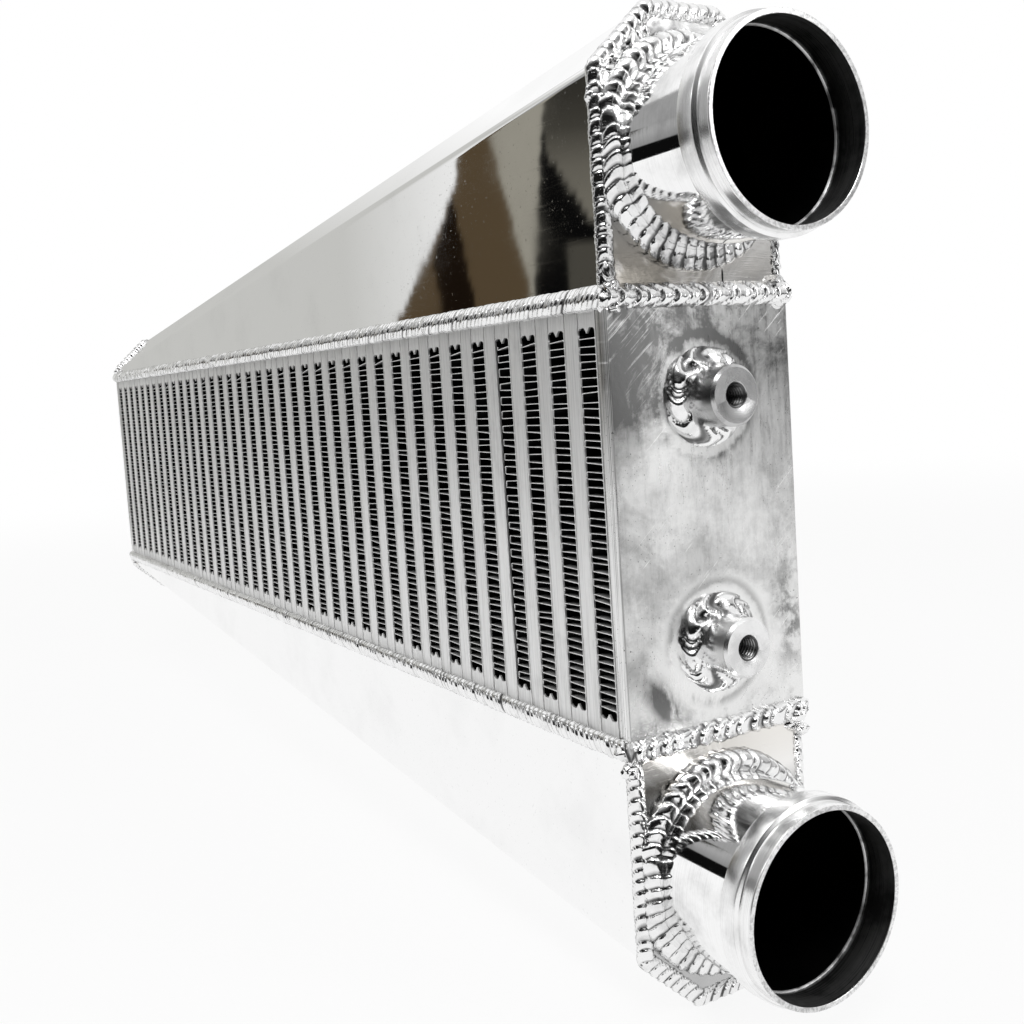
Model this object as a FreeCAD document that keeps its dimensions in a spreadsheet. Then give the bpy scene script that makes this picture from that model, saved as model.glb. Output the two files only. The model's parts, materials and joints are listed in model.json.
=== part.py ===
import FreeCAD, Part
import os
import Sketcher
from FreeCAD import Placement, Rotation, Vector

# Bar-and-plate intercooler with folded tanks, in millimetres.
# X runs along the length towards the pipes, Y from front to rear, Z up along the charge passages.
# Every sketch is drawn about the middle of the core. The placements then shift the whole assembly
# along X, so that the origin is the centre of its bounding box.

SIZES = [
    ("core_depth", 76.2, "core, front face to rear face"),
    ("core_height", 146.0, "core, tank joint to tank joint"),
    ("charge_passages", 37, "number of upright charge air passages"),
    ("charge_gap", 7.3, "width of a charge passage between its two sheets"),
    ("cooling_gap", 9.45, "width of a cooling column between its two sheets"),
    ("separator_wall", 0.5, "thickness of a separator sheet"),
    ("side_plate_wall", 6.2, "thickness of a side plate"),
    ("charge_bar_depth", 8.0, "depth of a charge bar, measured in from the face"),
    ("cooling_bar_height", 9.1, "height of a cooling bar without its tooth"),
    ("tooth_width", 2.8, "width of the tooth at its root"),
    ("tooth_height", 1.7, "how far the tooth reaches into the cooling column"),
    ("fin_wall", 0.35, "thickness of a cooling fin strip"),
    ("fin_folds", 8, "number of walls in one cooling fin strip, even"),
    ("fin_setback", 0.2, "cooling fin edge behind the core face"),
    ("turbulator_wall", 0.35, "thickness of a charge fin strip"),
    ("turbulator_folds", 2, "number of walls in one charge fin strip, even"),
    ("seat_clearance", 0.05, "gap left at a loose seat"),
    ("tank_wall", 3.0, "thickness of the folded tank sheet"),
    ("tank_inset", 1.8, "tank skin behind the core face, all round"),
    ("near_front_height", 70.5, "upright part of the tank at the pipe end"),
    ("far_front_height", 6.5, "upright part of the tank at the far end"),
    ("bevel_height", 20.5, "height of the tank's bevel"),
    ("bevel_width", 22.2, "width of the tank's bevel"),
    ("cap_wall", 4.0, "thickness of a tank cap"),
    ("pipe_side_clearance", 1.75, "room at each side between the pipe and the cap bead's edge"),
    ("pipe_wall", 1.65, "wall of the pipe"),
    ("pipe_height", 45.7, "pipe axis beyond the core's end face"),
    ("pipe_reach", 45.0, "pipe mouth beyond the side plate's outer face"),
    ("pipe_tail", 3.0, "pipe past the inside of its cap"),
    ("bead_rise", 1.45, "rise of the rolled bead above the pipe"),
    ("bead_setback", 5.0, "mouth to the front of the rolled bead"),
    ("bead_length", 7.9, "length of the rolled bead along the pipe"),
    ("bead_ramp", 1.1, "length of each ramp of the rolled bead"),
    ("boss_radius", 10.0, "outside radius of a boss"),
    ("boss_reach", 15.2, "boss face beyond the side plate's outer face"),
    ("boss_edge", 1.0, "bevel of the boss's outer edge"),
    ("upper_boss_height", 39.5, "upper boss axis above the middle of the core"),
    ("lower_boss_depth", 42.3, "lower boss axis below the middle of the core"),
    ("thread_radius", 3.4, "minor radius of the M8 thread"),
    ("thread_depth", 13.0, "depth of the threaded hole"),
    ("countersink_radius", 4.4, "mouth of the countersink"),
    ("core_weld_width", 7.6, "height of the bead between tank and core"),
    ("core_weld_rise", 1.9, "rise of that bead above the core face"),
    ("cap_weld_face_leg", 2.8, "reach of the cap bead over the cap"),
    ("cap_weld_skin_leg", 3.6, "reach of the cap bead over the tank's skin"),
    ("cap_weld_rise", 1.3, "rise of the cap bead above the skin"),
    ("pipe_weld_width", 9.2, "radial width of the bead at the foot of a pipe"),
    ("pipe_weld_height", 5.6, "height of that bead along the pipe"),
    ("boss_weld_width", 6.8, "radial width of the bead at the foot of a boss"),
    ("boss_weld_height", 4.6, "height of that bead along the boss"),
]

# Lengths worked out from the sizes, as expressions that the objects are bound to.
PITCH = "(sizes.charge_gap + sizes.cooling_gap + 2 * sizes.separator_wall)"
SPAN = f"({PITCH} * sizes.charge_passages)"
HALF_LENGTH = (
    f"({SPAN} / 2 + sizes.cooling_gap / 2 + sizes.separator_wall + sizes.side_plate_wall)"
)
HALF_DEPTH = "(sizes.core_depth / 2)"
HALF_HEIGHT = "(sizes.core_height / 2)"
FIRST_COLUMN = f"(-{SPAN} / 2)"
FIRST_PASSAGE = f"({PITCH} / 2 - {SPAN} / 2)"
ORIGIN_SHIFT = "((sizes.boss_reach - sizes.pipe_reach) / 2)"
TANK_HALF_DEPTH = f"({HALF_DEPTH} - sizes.tank_inset)"
CAP_FACE = f"({HALF_LENGTH} - sizes.tank_inset)"
TANK_END = f"({CAP_FACE} - sizes.cap_wall)"
FLAT_HALF_WIDTH = f"({TANK_HALF_DEPTH} - sizes.bevel_width)"
PIPE_AXIS = f"({HALF_HEIGHT} + sizes.pipe_height)"
PIPE_OUTER = f"({TANK_HALF_DEPTH} - sizes.cap_weld_face_leg - sizes.pipe_side_clearance)"
PIPE_BORE = f"({PIPE_OUTER} - sizes.pipe_wall)"
BOSS_SPACING = "(sizes.upper_boss_height + sizes.lower_boss_depth)"

# Shares of a weld bead's width and height at the shoulders of its section.
CORE_WELD_SHOULDER = 0.5
CORE_WELD_LOWER_RISE = 0.85
CORE_WELD_UPPER_RISE = 0.45
CAP_WELD_SHOULDER = 0.55
CAP_WELD_SHOULDER_RISE = 0.9
CAP_WELD_FRONT = 0.35

# How square to an axis a face's normal has to be, as a cosine.
SQUARE_ON = 0.99

UPRIGHT = Rotation()
UPSIDE_DOWN = Rotation(Vector(1, 0, 0), 180)
TURNED_ROUND = Rotation(Vector(0, 0, 1), 180)

doc = FreeCAD.newDocument("intercooler")
sizes = doc.addObject("Spreadsheet::Sheet", "sizes")
for row, (alias, number, note) in enumerate(SIZES, start=1):
    sizes.set(f"A{row}", alias)
    sizes.set(f"B{row}", str(number))
    sizes.set(f"C{row}", note)
    sizes.setAlias(f"B{row}", alias)
doc.recompute()

subparts = []


def number_of(expression):
    """The value of an expression over the sheet, as a plain number of millimetres."""
    found = sizes.evalExpression(expression)
    return float(getattr(found, "Value", found))


def new_body(name, turn=UPRIGHT, up=None, counted=True):
    """A body whose sketches are drawn about the middle of the core, turned as a whole."""
    body = doc.addObject("PartDesign::Body", name)
    body.Label = name
    body.AllowCompound = True
    body.Placement = Placement(Vector(0, 0, 0), turn)
    body.setExpression("Placement.Base.x", ORIGIN_SHIFT)
    if up is not None:
        body.setExpression("Placement.Base.z", up)
    if counted:
        subparts.append(body)
    return body


def datum(body, role):
    """One of the body's own origin planes or axes."""
    return next(f for f in body.Origin.OriginFeatures if f.Role == role)


def new_sketch(body, name, role, offset="0"):
    """A sketch on an origin plane of the body, moved along the plane's normal."""
    sketch = body.newObject("Sketcher::SketchObject", f"{body.Name}_{name}")
    sketch.AttachmentSupport = [(datum(body, role), "")]
    sketch.MapMode = "FlatFace"
    if offset != "0":
        sketch.setExpression("AttachmentOffset.Base.z", offset)
    return sketch


def pin_point(sketch, edge, end, x, y):
    """Ties one end of an edge to a place given by two expressions."""
    for kind, expression in (("DistanceX", x), ("DistanceY", y)):
        row = Sketcher.Constraint(kind, -1, 1, edge, end, number_of(expression))
        sketch.setExpression(f"Constraints[{sketch.addConstraint(row)}]", expression)


def outline(sketch, corners):
    """A closed outline of straight edges. Each corner is a pair of expressions."""
    places = [Vector(number_of(x), number_of(y), 0) for x, y in corners]
    edges = [
        sketch.addGeometry(Part.LineSegment(start, end), False)
        for start, end in zip(places, places[1:] + places[:1])
    ]
    for edge, following, corner in zip(edges, edges[1:] + edges[:1], corners):
        sketch.addConstraint(Sketcher.Constraint("Coincident", edge, 2, following, 1))
        pin_point(sketch, edge, 1, *corner)


def rectangle(sketch, low_x, high_x, low_y, high_y):
    """An upright rectangle between two pairs of expressions."""
    outline(sketch, [(low_x, low_y), (high_x, low_y), (high_x, high_y), (low_x, high_y)])


def disc(sketch, radius, x="0", y="0"):
    """A circle whose radius and centre are expressions."""
    centre = Vector(number_of(x), number_of(y), 0)
    edge = sketch.addGeometry(Part.Circle(centre, Vector(0, 0, 1), number_of(radius)), False)
    row = sketch.addConstraint(Sketcher.Constraint("Radius", edge, number_of(radius)))
    sketch.setExpression(f"Constraints[{row}]", radius)
    pin_point(sketch, edge, 3, x, y)


def pad(body, sketch, length, midplane=False, reverse=False):
    feature = body.newObject("PartDesign::Pad", f"{sketch.Name}_pad")
    feature.Profile = sketch
    feature.setExpression("Length", length)
    feature.Midplane = midplane
    feature.Reversed = reverse
    return feature


def pocket_through(body, sketch):
    feature = body.newObject("PartDesign::Pocket", f"{sketch.Name}_pocket")
    feature.Profile = sketch
    feature.Type = "ThroughAll"
    feature.Midplane = True
    return feature


def revolve(body, sketch, axis):
    feature = body.newObject("PartDesign::Revolution", f"{sketch.Name}_turned")
    feature.Profile = sketch
    feature.ReferenceAxis = (datum(body, axis), [""])
    feature.Angle = 360
    return feature


def repeat_along_length(body, feature, count):
    """Copies of a feature along X, one pitch apart, as separate solids of one body."""
    pattern = body.newObject("PartDesign::LinearPattern", f"{feature.Name}_row")
    pattern.Originals = [feature]
    pattern.Direction = (datum(body, "X_Axis"), [""])
    pattern.setExpression("Length", f"{PITCH} * ({count} - 1)")
    pattern.setExpression("Occurrences", count)
    body.Tip = pattern


def zigzag(start, end, reach, wall, folds):
    """The outline of a folded strip as (along, across) pairs, which swings between -reach and reach."""
    step = f"(({end} - {start}) / {folds})"
    outer = reach
    inner = f"({reach} - {wall} * sqrt(1 + (2 * {reach} / {step})^2))"
    there, back = [], []
    for turn in range(int(number_of(folds)) + 1):
        along = f"{start} + {step} * {turn}"
        at_right = turn % 2 == 1
        there.append((along, outer if at_right else f"-{inner}"))
        back.append((along, inner if at_right else f"-{outer}"))
    return there + back[::-1]


def side_plate(name, low_x):
    plate = doc.addObject("Part::Box", name)
    plate.Label = name
    plate.setExpression("Length", "sizes.side_plate_wall")
    plate.setExpression("Width", "sizes.core_depth")
    plate.setExpression("Height", "sizes.core_height")
    plate.setExpression("Placement.Base.x", f"{low_x} + {ORIGIN_SHIFT}")
    plate.setExpression("Placement.Base.y", f"-{HALF_DEPTH}")
    plate.setExpression("Placement.Base.z", f"-{HALF_HEIGHT}")
    subparts.append(plate)


def separator_sheets(name):
    """Two sheets on either side of each cooling column, over the whole depth and height."""
    body = new_body(name)
    sketch = new_sketch(body, "pair", "XY_Plane")
    inner, outer = "sizes.cooling_gap / 2", "(sizes.cooling_gap / 2 + sizes.separator_wall)"
    rectangle(
        sketch, f"{FIRST_COLUMN} - {outer}", f"{FIRST_COLUMN} - {inner}", f"-{HALF_DEPTH}", HALF_DEPTH
    )
    rectangle(
        sketch, f"{FIRST_COLUMN} + {inner}", f"{FIRST_COLUMN} + {outer}", f"-{HALF_DEPTH}", HALF_DEPTH
    )
    sheets = pad(body, sketch, "sizes.core_height", midplane=True)
    repeat_along_length(body, sheets, "sizes.charge_passages + 1")


def charge_bars(name, turn):
    """The solid bars that close the charge passages along one face of the core."""
    body = new_body(name, turn)
    sketch = new_sketch(body, "bar", "XY_Plane")
    half = "sizes.charge_gap / 2"
    rectangle(
        sketch,
        f"{FIRST_PASSAGE} - {half}",
        f"{FIRST_PASSAGE} + {half}",
        f"-{HALF_DEPTH}",
        f"sizes.charge_bar_depth - {HALF_DEPTH}",
    )
    bar = pad(body, sketch, "sizes.core_height", midplane=True)
    repeat_along_length(body, bar, "sizes.charge_passages")


def cooling_bars(name, turn):
    """The short bars that close the cooling columns, each with a tooth that points inwards."""
    body = new_body(name, turn)
    sketch = new_sketch(body, "bar", "XZ_Plane")
    half, tooth = "sizes.cooling_gap / 2", "sizes.tooth_width / 2"
    inside = f"({HALF_HEIGHT} - sizes.cooling_bar_height)"
    outline(
        sketch,
        [
            (f"{FIRST_COLUMN} - {half}", HALF_HEIGHT),
            (f"{FIRST_COLUMN} - {half}", inside),
            (f"{FIRST_COLUMN} - {tooth}", inside),
            (FIRST_COLUMN, f"{inside} - sizes.tooth_height"),
            (f"{FIRST_COLUMN} + {tooth}", inside),
            (f"{FIRST_COLUMN} + {half}", inside),
            (f"{FIRST_COLUMN} + {half}", HALF_HEIGHT),
        ],
    )
    bar = pad(body, sketch, "sizes.core_depth", midplane=True)
    repeat_along_length(body, bar, "sizes.charge_passages + 1")


def cooling_fins(name):
    """Corrugated strips between the sheets, open from the front face to the rear face."""
    body = new_body(name)
    sketch = new_sketch(body, "strip", "XZ_Plane")
    top = f"({HALF_HEIGHT} - sizes.cooling_bar_height - sizes.tooth_height - sizes.seat_clearance)"
    reach = "(sizes.cooling_gap / 2 - sizes.seat_clearance)"
    strip = zigzag(f"(-{top})", top, reach, "sizes.fin_wall", "sizes.fin_folds")
    outline(sketch, [(f"{FIRST_COLUMN} + {across}", along) for along, across in strip])
    fin = pad(body, sketch, "sizes.core_depth - 2 * sizes.fin_setback", midplane=True)
    repeat_along_length(body, fin, "sizes.charge_passages + 1")


def charge_fins(name):
    """Corrugated strips inside the charge passages, open from the top tank to the bottom tank."""
    body = new_body(name)
    sketch = new_sketch(body, "strip", "XY_Plane")
    side = f"({HALF_DEPTH} - sizes.charge_bar_depth - sizes.seat_clearance)"
    reach = "(sizes.charge_gap / 2 - sizes.seat_clearance)"
    strip = zigzag(f"(-{side})", side, reach, "sizes.turbulator_wall", "sizes.turbulator_folds")
    outline(sketch, [(f"{FIRST_PASSAGE} + {across}", along) for along, across in strip])
    fin = pad(body, sketch, "sizes.core_height", midplane=True)
    repeat_along_length(body, fin, "sizes.charge_passages")


def tank_outline(front_height, grow="0", foot=HALF_HEIGHT):
    """The tank's section in Y and Z: upright sides, bevels and a flat top, grown outwards all round."""
    lower_bend = f"tan(atan(sizes.bevel_width / sizes.bevel_height) / 2) * ({grow})"
    upper_bend = f"tan(atan(sizes.bevel_height / sizes.bevel_width) / 2) * ({grow})"
    side = f"({TANK_HALF_DEPTH} + {grow})"
    shoulder = f"{HALF_HEIGHT} + {front_height} + {lower_bend}"
    ridge = f"({FLAT_HALF_WIDTH} + {upper_bend})"
    top = f"{HALF_HEIGHT} + {front_height} + sizes.bevel_height + {grow}"
    return [
        (f"-{side}", foot),
        (f"-{side}", shoulder),
        (f"-{ridge}", top),
        (ridge, top),
        (side, shoulder),
        (side, foot),
    ]


def loft(body, sketches):
    feature = body.newObject("PartDesign::AdditiveLoft", f"{body.Name}_loft")
    feature.Profile = sketches[0]
    feature.Sections = sketches[1:]
    feature.Ruled = True
    return feature


def folded_tank(name, turn):
    """A folded shell, open along its foot and at both ends, that tapers away from the pipe."""
    body = new_body(name, turn)
    near = new_sketch(body, "near", "YZ_Plane", TANK_END)
    outline(near, tank_outline("sizes.near_front_height"))
    swept = pad(body, near, f"2 * {TANK_END}")
    swept.UseCustomVector = True
    swept.AlongSketchNormal = True
    fall = "(sizes.far_front_height - sizes.near_front_height)"
    swept.Direction = Vector(-1, 0, 0)
    swept.setExpression("Direction.x", f"-2 * {TANK_END}")
    swept.setExpression("Direction.z", fall)
    foot = new_sketch(body, "foot", "XZ_Plane")
    rectangle(foot, f"-{HALF_LENGTH}", HALF_LENGTH, f"-{HALF_HEIGHT}", HALF_HEIGHT)
    block = pocket_through(body, foot)
    doc.recompute()
    open_faces = [
        f"Face{i}"
        for i, face in enumerate(block.Shape.Faces, start=1)
        if abs(face.normalAt(0, 0).x) > SQUARE_ON or face.normalAt(0, 0).z < -SQUARE_ON
    ]
    shell = body.newObject("PartDesign::Thickness", f"{name}_shell")
    shell.Base = (block, open_faces)
    shell.setExpression("Value", "sizes.tank_wall")
    shell.Mode = "Skin"
    shell.Join = "Intersection"
    shell.Reversed = True


def near_cap(name, turn):
    """The flat plate at the tall end of a tank, with the pipe's hole."""
    body = new_body(name, turn)
    plate = new_sketch(body, "plate", "YZ_Plane", TANK_END)
    outline(plate, tank_outline("sizes.near_front_height"))
    pad(body, plate, "sizes.cap_wall")
    hole = new_sketch(body, "hole", "YZ_Plane", TANK_END)
    disc(hole, f"{PIPE_OUTER} + sizes.seat_clearance", y=PIPE_AXIS)
    pocket_through(body, hole)


def far_cap(name, turn):
    """The flat plate at the low end of a tank."""
    body = new_body(name, turn)
    plate = new_sketch(body, "plate", "YZ_Plane", f"-{CAP_FACE}")
    outline(plate, tank_outline("sizes.far_front_height"))
    pad(body, plate, "sizes.cap_wall")


def pipes(name):
    """Two tubes with a bead rolled outwards near the mouth, each drawn about its own axis."""
    body = new_body(name, up=f"-{PIPE_AXIS}")
    sketch = new_sketch(body, "wall", "XZ_Plane")
    mouth = f"({HALF_LENGTH} + sizes.pipe_reach)"
    front = f"({mouth} - sizes.bead_setback)"
    back = f"({front} - sizes.bead_length)"
    tail = f"({TANK_END} - sizes.pipe_tail)"
    crest = f"{PIPE_OUTER} + sizes.bead_rise"
    outline(
        sketch,
        [
            (tail, PIPE_OUTER),
            (back, PIPE_OUTER),
            (f"{back} + sizes.bead_ramp", crest),
            (f"{front} - sizes.bead_ramp", crest),
            (front, PIPE_OUTER),
            (mouth, PIPE_OUTER),
            (mouth, PIPE_BORE),
            (tail, PIPE_BORE),
        ],
    )
    repeat_upwards(body, revolve(body, sketch, "X_Axis"), f"2 * {PIPE_AXIS}")


def repeat_upwards(body, feature, distance):
    """A second copy of a feature, straight above the first."""
    pattern = body.newObject("PartDesign::LinearPattern", f"{feature.Name}_pair")
    pattern.Originals = [feature]
    pattern.Direction = (datum(body, "Z_Axis"), [""])
    pattern.setExpression("Length", distance)
    pattern.Occurrences = 2
    body.Tip = pattern
    return pattern


def at_both_ends(name, make_pair):
    """A pair made for the pipe end, and the same pair turned round for the far end, as one group."""
    group = doc.addObject("Part::Compound", name)
    group.Label = name
    group.Links = [make_pair(f"near_{name}", UPRIGHT), make_pair(f"far_{name}", TURNED_ROUND)]
    subparts.append(group)


def boss_pair(name, turn):
    """Two turned bosses with a countersunk blind hole, seated on a side plate."""
    body = new_body(name, turn, up="-sizes.lower_boss_depth", counted=False)
    sketch = new_sketch(body, "section", "XZ_Plane")
    seat = HALF_LENGTH
    face = f"({HALF_LENGTH} + sizes.boss_reach)"
    radius, edge = "sizes.boss_radius", "sizes.boss_edge"
    sink = "(sizes.countersink_radius - sizes.thread_radius)"
    outline(
        sketch,
        [
            (seat, "0"),
            (seat, radius),
            (f"{face} - {edge}", radius),
            (face, f"{radius} - {edge}"),
            (face, "sizes.countersink_radius"),
            (f"{face} - {sink}", "sizes.thread_radius"),
            (f"{face} - sizes.thread_depth", "sizes.thread_radius"),
            (f"{face} - sizes.thread_depth", "0"),
        ],
    )
    repeat_upwards(body, revolve(body, sketch, "X_Axis"), BOSS_SPACING)
    return body


def fillet_bead(sketch, seat, wall_radius, width, height):
    """The section of a weld bead in the corner between a flat face and a round wall."""
    root = f"({wall_radius} + sizes.seat_clearance)"
    outline(sketch, [(seat, root), (seat, f"{root} + {width}"), (f"{seat} + {height}", root)])


def boss_weld_pair(name, turn):
    body = new_body(name, turn, up="-sizes.lower_boss_depth", counted=False)
    sketch = new_sketch(body, "bead", "XZ_Plane")
    fillet_bead(
        sketch, HALF_LENGTH, "sizes.boss_radius", "sizes.boss_weld_width", "sizes.boss_weld_height"
    )
    repeat_upwards(body, revolve(body, sketch, "X_Axis"), BOSS_SPACING)
    return body


def pipe_welds(name):
    """The beads round the feet of the pipes, cut back where the beads along the caps' edges meet them."""
    body = new_body(name, up=f"-{PIPE_AXIS}")
    sketch = new_sketch(body, "bead", "XZ_Plane")
    fillet_bead(
        sketch, CAP_FACE, PIPE_OUTER, "sizes.pipe_weld_width", "sizes.pipe_weld_height"
    )
    repeat_upwards(body, revolve(body, sketch, "X_Axis"), f"2 * {PIPE_AXIS}")
    for side in (1, -1):
        trim = new_sketch(body, f"trim{side}", "YZ_Plane", CAP_FACE)
        edge = tank_outline("sizes.near_front_height", "(-sizes.cap_weld_face_leg)")
        outline(trim, [(y, f"{PIPE_AXIS} + {side} * ({z})") for y, z in edge])
        beyond = f"2 * {PIPE_OUTER}"
        middle = f"({PIPE_AXIS} + {side} * {PIPE_AXIS})"
        rectangle(trim, f"-{beyond}", beyond, f"{middle} - {beyond}", f"{middle} + {beyond}")
        pocket_through(body, trim)


def core_weld(name, turn):
    """The bead all round the joint between a tank and the core: low on the core, high on the tank."""
    body = new_body(name, turn)
    half, rise = "sizes.core_weld_width / 2", "sizes.core_weld_rise"
    rings = [
        (f"{HALF_HEIGHT} - {half}", "0"),
        (f"{HALF_HEIGHT} - {half} * {CORE_WELD_SHOULDER}", f"{rise} * {CORE_WELD_LOWER_RISE}"),
        (HALF_HEIGHT, rise),
        (f"{HALF_HEIGHT} + {half} * {CORE_WELD_SHOULDER}", f"{rise} * {CORE_WELD_UPPER_RISE}"),
        (f"{HALF_HEIGHT} + {half}", "-sizes.tank_inset"),
    ]
    sketches = []
    for i, (level, grow) in enumerate(rings):
        sketch = new_sketch(body, f"ring{i}", "XY_Plane", level)
        long, wide = f"({HALF_LENGTH} + {grow})", f"({HALF_DEPTH} + {grow})"
        rectangle(sketch, f"-{long}", long, f"-{wide}", wide)
        sketches.append(sketch)
    loft(body, sketches)
    core = new_sketch(body, "core", "XY_Plane", HALF_HEIGHT)
    rectangle(core, f"-{HALF_LENGTH}", HALF_LENGTH, f"-{HALF_DEPTH}", HALF_DEPTH)
    below = body.newObject("PartDesign::Pocket", f"{name}_below")
    below.Profile = core
    below.setExpression("Length", half)
    tank = new_sketch(body, "tank", "XY_Plane", HALF_HEIGHT)
    rectangle(tank, f"-{CAP_FACE}", CAP_FACE, f"-{TANK_HALF_DEPTH}", TANK_HALF_DEPTH)
    above = body.newObject("PartDesign::Pocket", f"{name}_above")
    above.Profile = tank
    above.setExpression("Length", half)
    above.Reversed = True


def cap_weld(name, turn, side, front_height):
    """The bead over the outer corner between a tank's skin and its cap. side is 1 at the pipe end."""
    body = new_body(name, turn)
    foot = f"{HALF_HEIGHT} + sizes.core_weld_width / 2"
    skin, leg, rise = "sizes.cap_weld_skin_leg", "sizes.cap_weld_face_leg", "sizes.cap_weld_rise"
    rings = [
        (f"-{skin}", "0"),
        (f"-{skin} * {CAP_WELD_SHOULDER}", f"{rise} * {CAP_WELD_SHOULDER_RISE}"),
        ("0", rise),
        (rise, f"(-{leg} * {CAP_WELD_FRONT})"),
    ]
    sketches = []
    for i, (along, grow) in enumerate(rings):
        sketch = new_sketch(body, f"ring{i}", "YZ_Plane", f"{side} * ({CAP_FACE} + {along})")
        outline(sketch, tank_outline(front_height, grow, foot))
        sketches.append(sketch)
    loft(body, sketches)
    skin_cut = new_sketch(body, "skin", "YZ_Plane", f"{side} * {CAP_FACE}")
    outline(skin_cut, tank_outline(front_height))
    behind = body.newObject("PartDesign::Pocket", f"{name}_behind")
    behind.Profile = skin_cut
    behind.setExpression("Length", skin)
    behind.Reversed = side < 0
    middle = new_sketch(body, "middle", "YZ_Plane", f"{side} * {CAP_FACE}")
    outline(middle, tank_outline(front_height, f"(-{leg})"))
    pocket_through(body, middle)


side_plate("near_side_plate", f"({HALF_LENGTH} - sizes.side_plate_wall)")
side_plate("far_side_plate", f"(-{HALF_LENGTH})")
separator_sheets("separator_sheets")
charge_bars("charge_bars_front", UPRIGHT)
charge_bars("charge_bars_rear", TURNED_ROUND)
cooling_bars("cooling_bars_top", UPRIGHT)
cooling_bars("cooling_bars_bottom", UPSIDE_DOWN)
cooling_fins("cooling_fins")
charge_fins("charge_fins")
for level, turn in (("top", UPRIGHT), ("bottom", UPSIDE_DOWN)):
    folded_tank(f"{level}_tank", turn)
    near_cap(f"{level}_tank_near_cap", turn)
    far_cap(f"{level}_tank_far_cap", turn)
    core_weld(f"{level}_tank_core_weld", turn)
    cap_weld(f"{level}_near_cap_weld", turn, 1, "sizes.near_front_height")
    cap_weld(f"{level}_far_cap_weld", turn, -1, "sizes.far_front_height")
pipes("pipes")
pipe_welds("pipe_welds")
at_both_ends("bosses", boss_pair)
at_both_ends("boss_welds", boss_weld_pair)
doc.recompute()

for thing in doc.Objects:
    if "Invalid" in thing.State or "Error" in thing.State:
        raise RuntimeError(f"{thing.Name} failed: {thing.State}")
for subpart in subparts:
    shape = subpart.Shape
    if shape.isNull() or not shape.isValid() or not shape.Solids:
        raise RuntimeError(f"{subpart.Label} has no valid solid")

os.makedirs("parts", exist_ok=True)
for subpart in subparts:
    subpart.Shape.exportStep(f"parts/{subpart.Label}.step")
    print(subpart.Label, len(subpart.Shape.Solids), round(subpart.Shape.Volume, 1))
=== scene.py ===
import json
import math

import bmesh
import bpy
import numpy as np
from bpy.props import FloatProperty, FloatVectorProperty, IntProperty, PointerProperty
from mathutils import Matrix, Vector


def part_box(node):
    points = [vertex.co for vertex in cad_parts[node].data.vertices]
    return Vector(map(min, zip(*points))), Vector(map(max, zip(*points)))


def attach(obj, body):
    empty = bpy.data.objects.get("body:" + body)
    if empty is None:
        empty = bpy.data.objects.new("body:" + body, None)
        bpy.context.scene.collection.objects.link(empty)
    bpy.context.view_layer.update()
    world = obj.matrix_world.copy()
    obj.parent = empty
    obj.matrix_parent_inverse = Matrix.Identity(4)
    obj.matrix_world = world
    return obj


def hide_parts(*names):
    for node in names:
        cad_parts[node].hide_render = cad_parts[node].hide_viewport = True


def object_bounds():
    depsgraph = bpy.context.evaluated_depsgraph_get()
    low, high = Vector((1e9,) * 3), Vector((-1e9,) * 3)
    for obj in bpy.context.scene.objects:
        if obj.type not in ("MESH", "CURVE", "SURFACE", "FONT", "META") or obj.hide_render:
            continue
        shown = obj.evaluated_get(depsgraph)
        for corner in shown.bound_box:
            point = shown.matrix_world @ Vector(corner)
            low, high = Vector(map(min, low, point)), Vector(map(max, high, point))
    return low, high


bl_info = {
    "name": "Bar-and-plate intercooler",
    "version": (1, 0, 0),
    "blender": (4, 5, 0),
    "location": "3D View > Sidebar > Intercooler",
    "description": "Dresses the intercooler's frame: core, folded tanks, pipes, bosses and weld beads",
    "category": "Object",
}

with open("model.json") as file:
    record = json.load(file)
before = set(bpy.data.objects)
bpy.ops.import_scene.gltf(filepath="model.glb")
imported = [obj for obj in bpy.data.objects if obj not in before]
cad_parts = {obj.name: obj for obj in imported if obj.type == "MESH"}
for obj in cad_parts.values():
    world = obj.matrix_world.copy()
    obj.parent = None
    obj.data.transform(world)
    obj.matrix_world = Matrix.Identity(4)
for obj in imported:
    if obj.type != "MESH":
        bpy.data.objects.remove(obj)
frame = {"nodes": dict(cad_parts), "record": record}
CAD_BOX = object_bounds()

# Places read from the frame, in metres. X runs towards the pipes, Y to the rear and Z up.
NEAR_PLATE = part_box("near_side_plate")
FAR_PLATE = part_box("far_side_plate")
FRONT_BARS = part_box("charge_bars_front")
FIN_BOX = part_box("cooling_fins")
CLOSING_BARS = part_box("cooling_bars_top")
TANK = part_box("top_tank")
NEAR_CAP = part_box("top_tank_near_cap")
FAR_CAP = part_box("top_tank_far_cap")
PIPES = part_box("pipes")
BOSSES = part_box("bosses")
CORE_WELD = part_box("top_tank_core_weld")

HALF_DEPTH = NEAR_PLATE[1][1]
HALF_HEIGHT = NEAR_PLATE[1][2]
NEAR_END = NEAR_PLATE[1][0]
FAR_END = FAR_PLATE[0][0]
CAP_FACE = NEAR_CAP[1][0]
FAR_CAP_FACE = FAR_CAP[0][0]
PIPE_MOUTH = PIPES[1][0]
TANK_HALF_DEPTH = TANK[1][1]
TANK_INSET = HALF_DEPTH - TANK_HALF_DEPTH

MOUNTS = frame["record"]["mounts"]
PIPE_HEIGHT = next(m["pos_m"][2] for m in MOUNTS if m["name"] == "top_pipe_bore")
BOSS_HEIGHTS = [m["pos_m"][2] for m in MOUNTS if m["kind"] == "threaded_hole" and m["pos_m"][0] > 0]

# Axes of the flat paths that the beads follow.
ACROSS = np.array([0.0, 1.0, 0.0])
UP = np.array([0.0, 0.0, 1.0])
ALONG = np.array([1.0, 0.0, 0.0])

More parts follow.
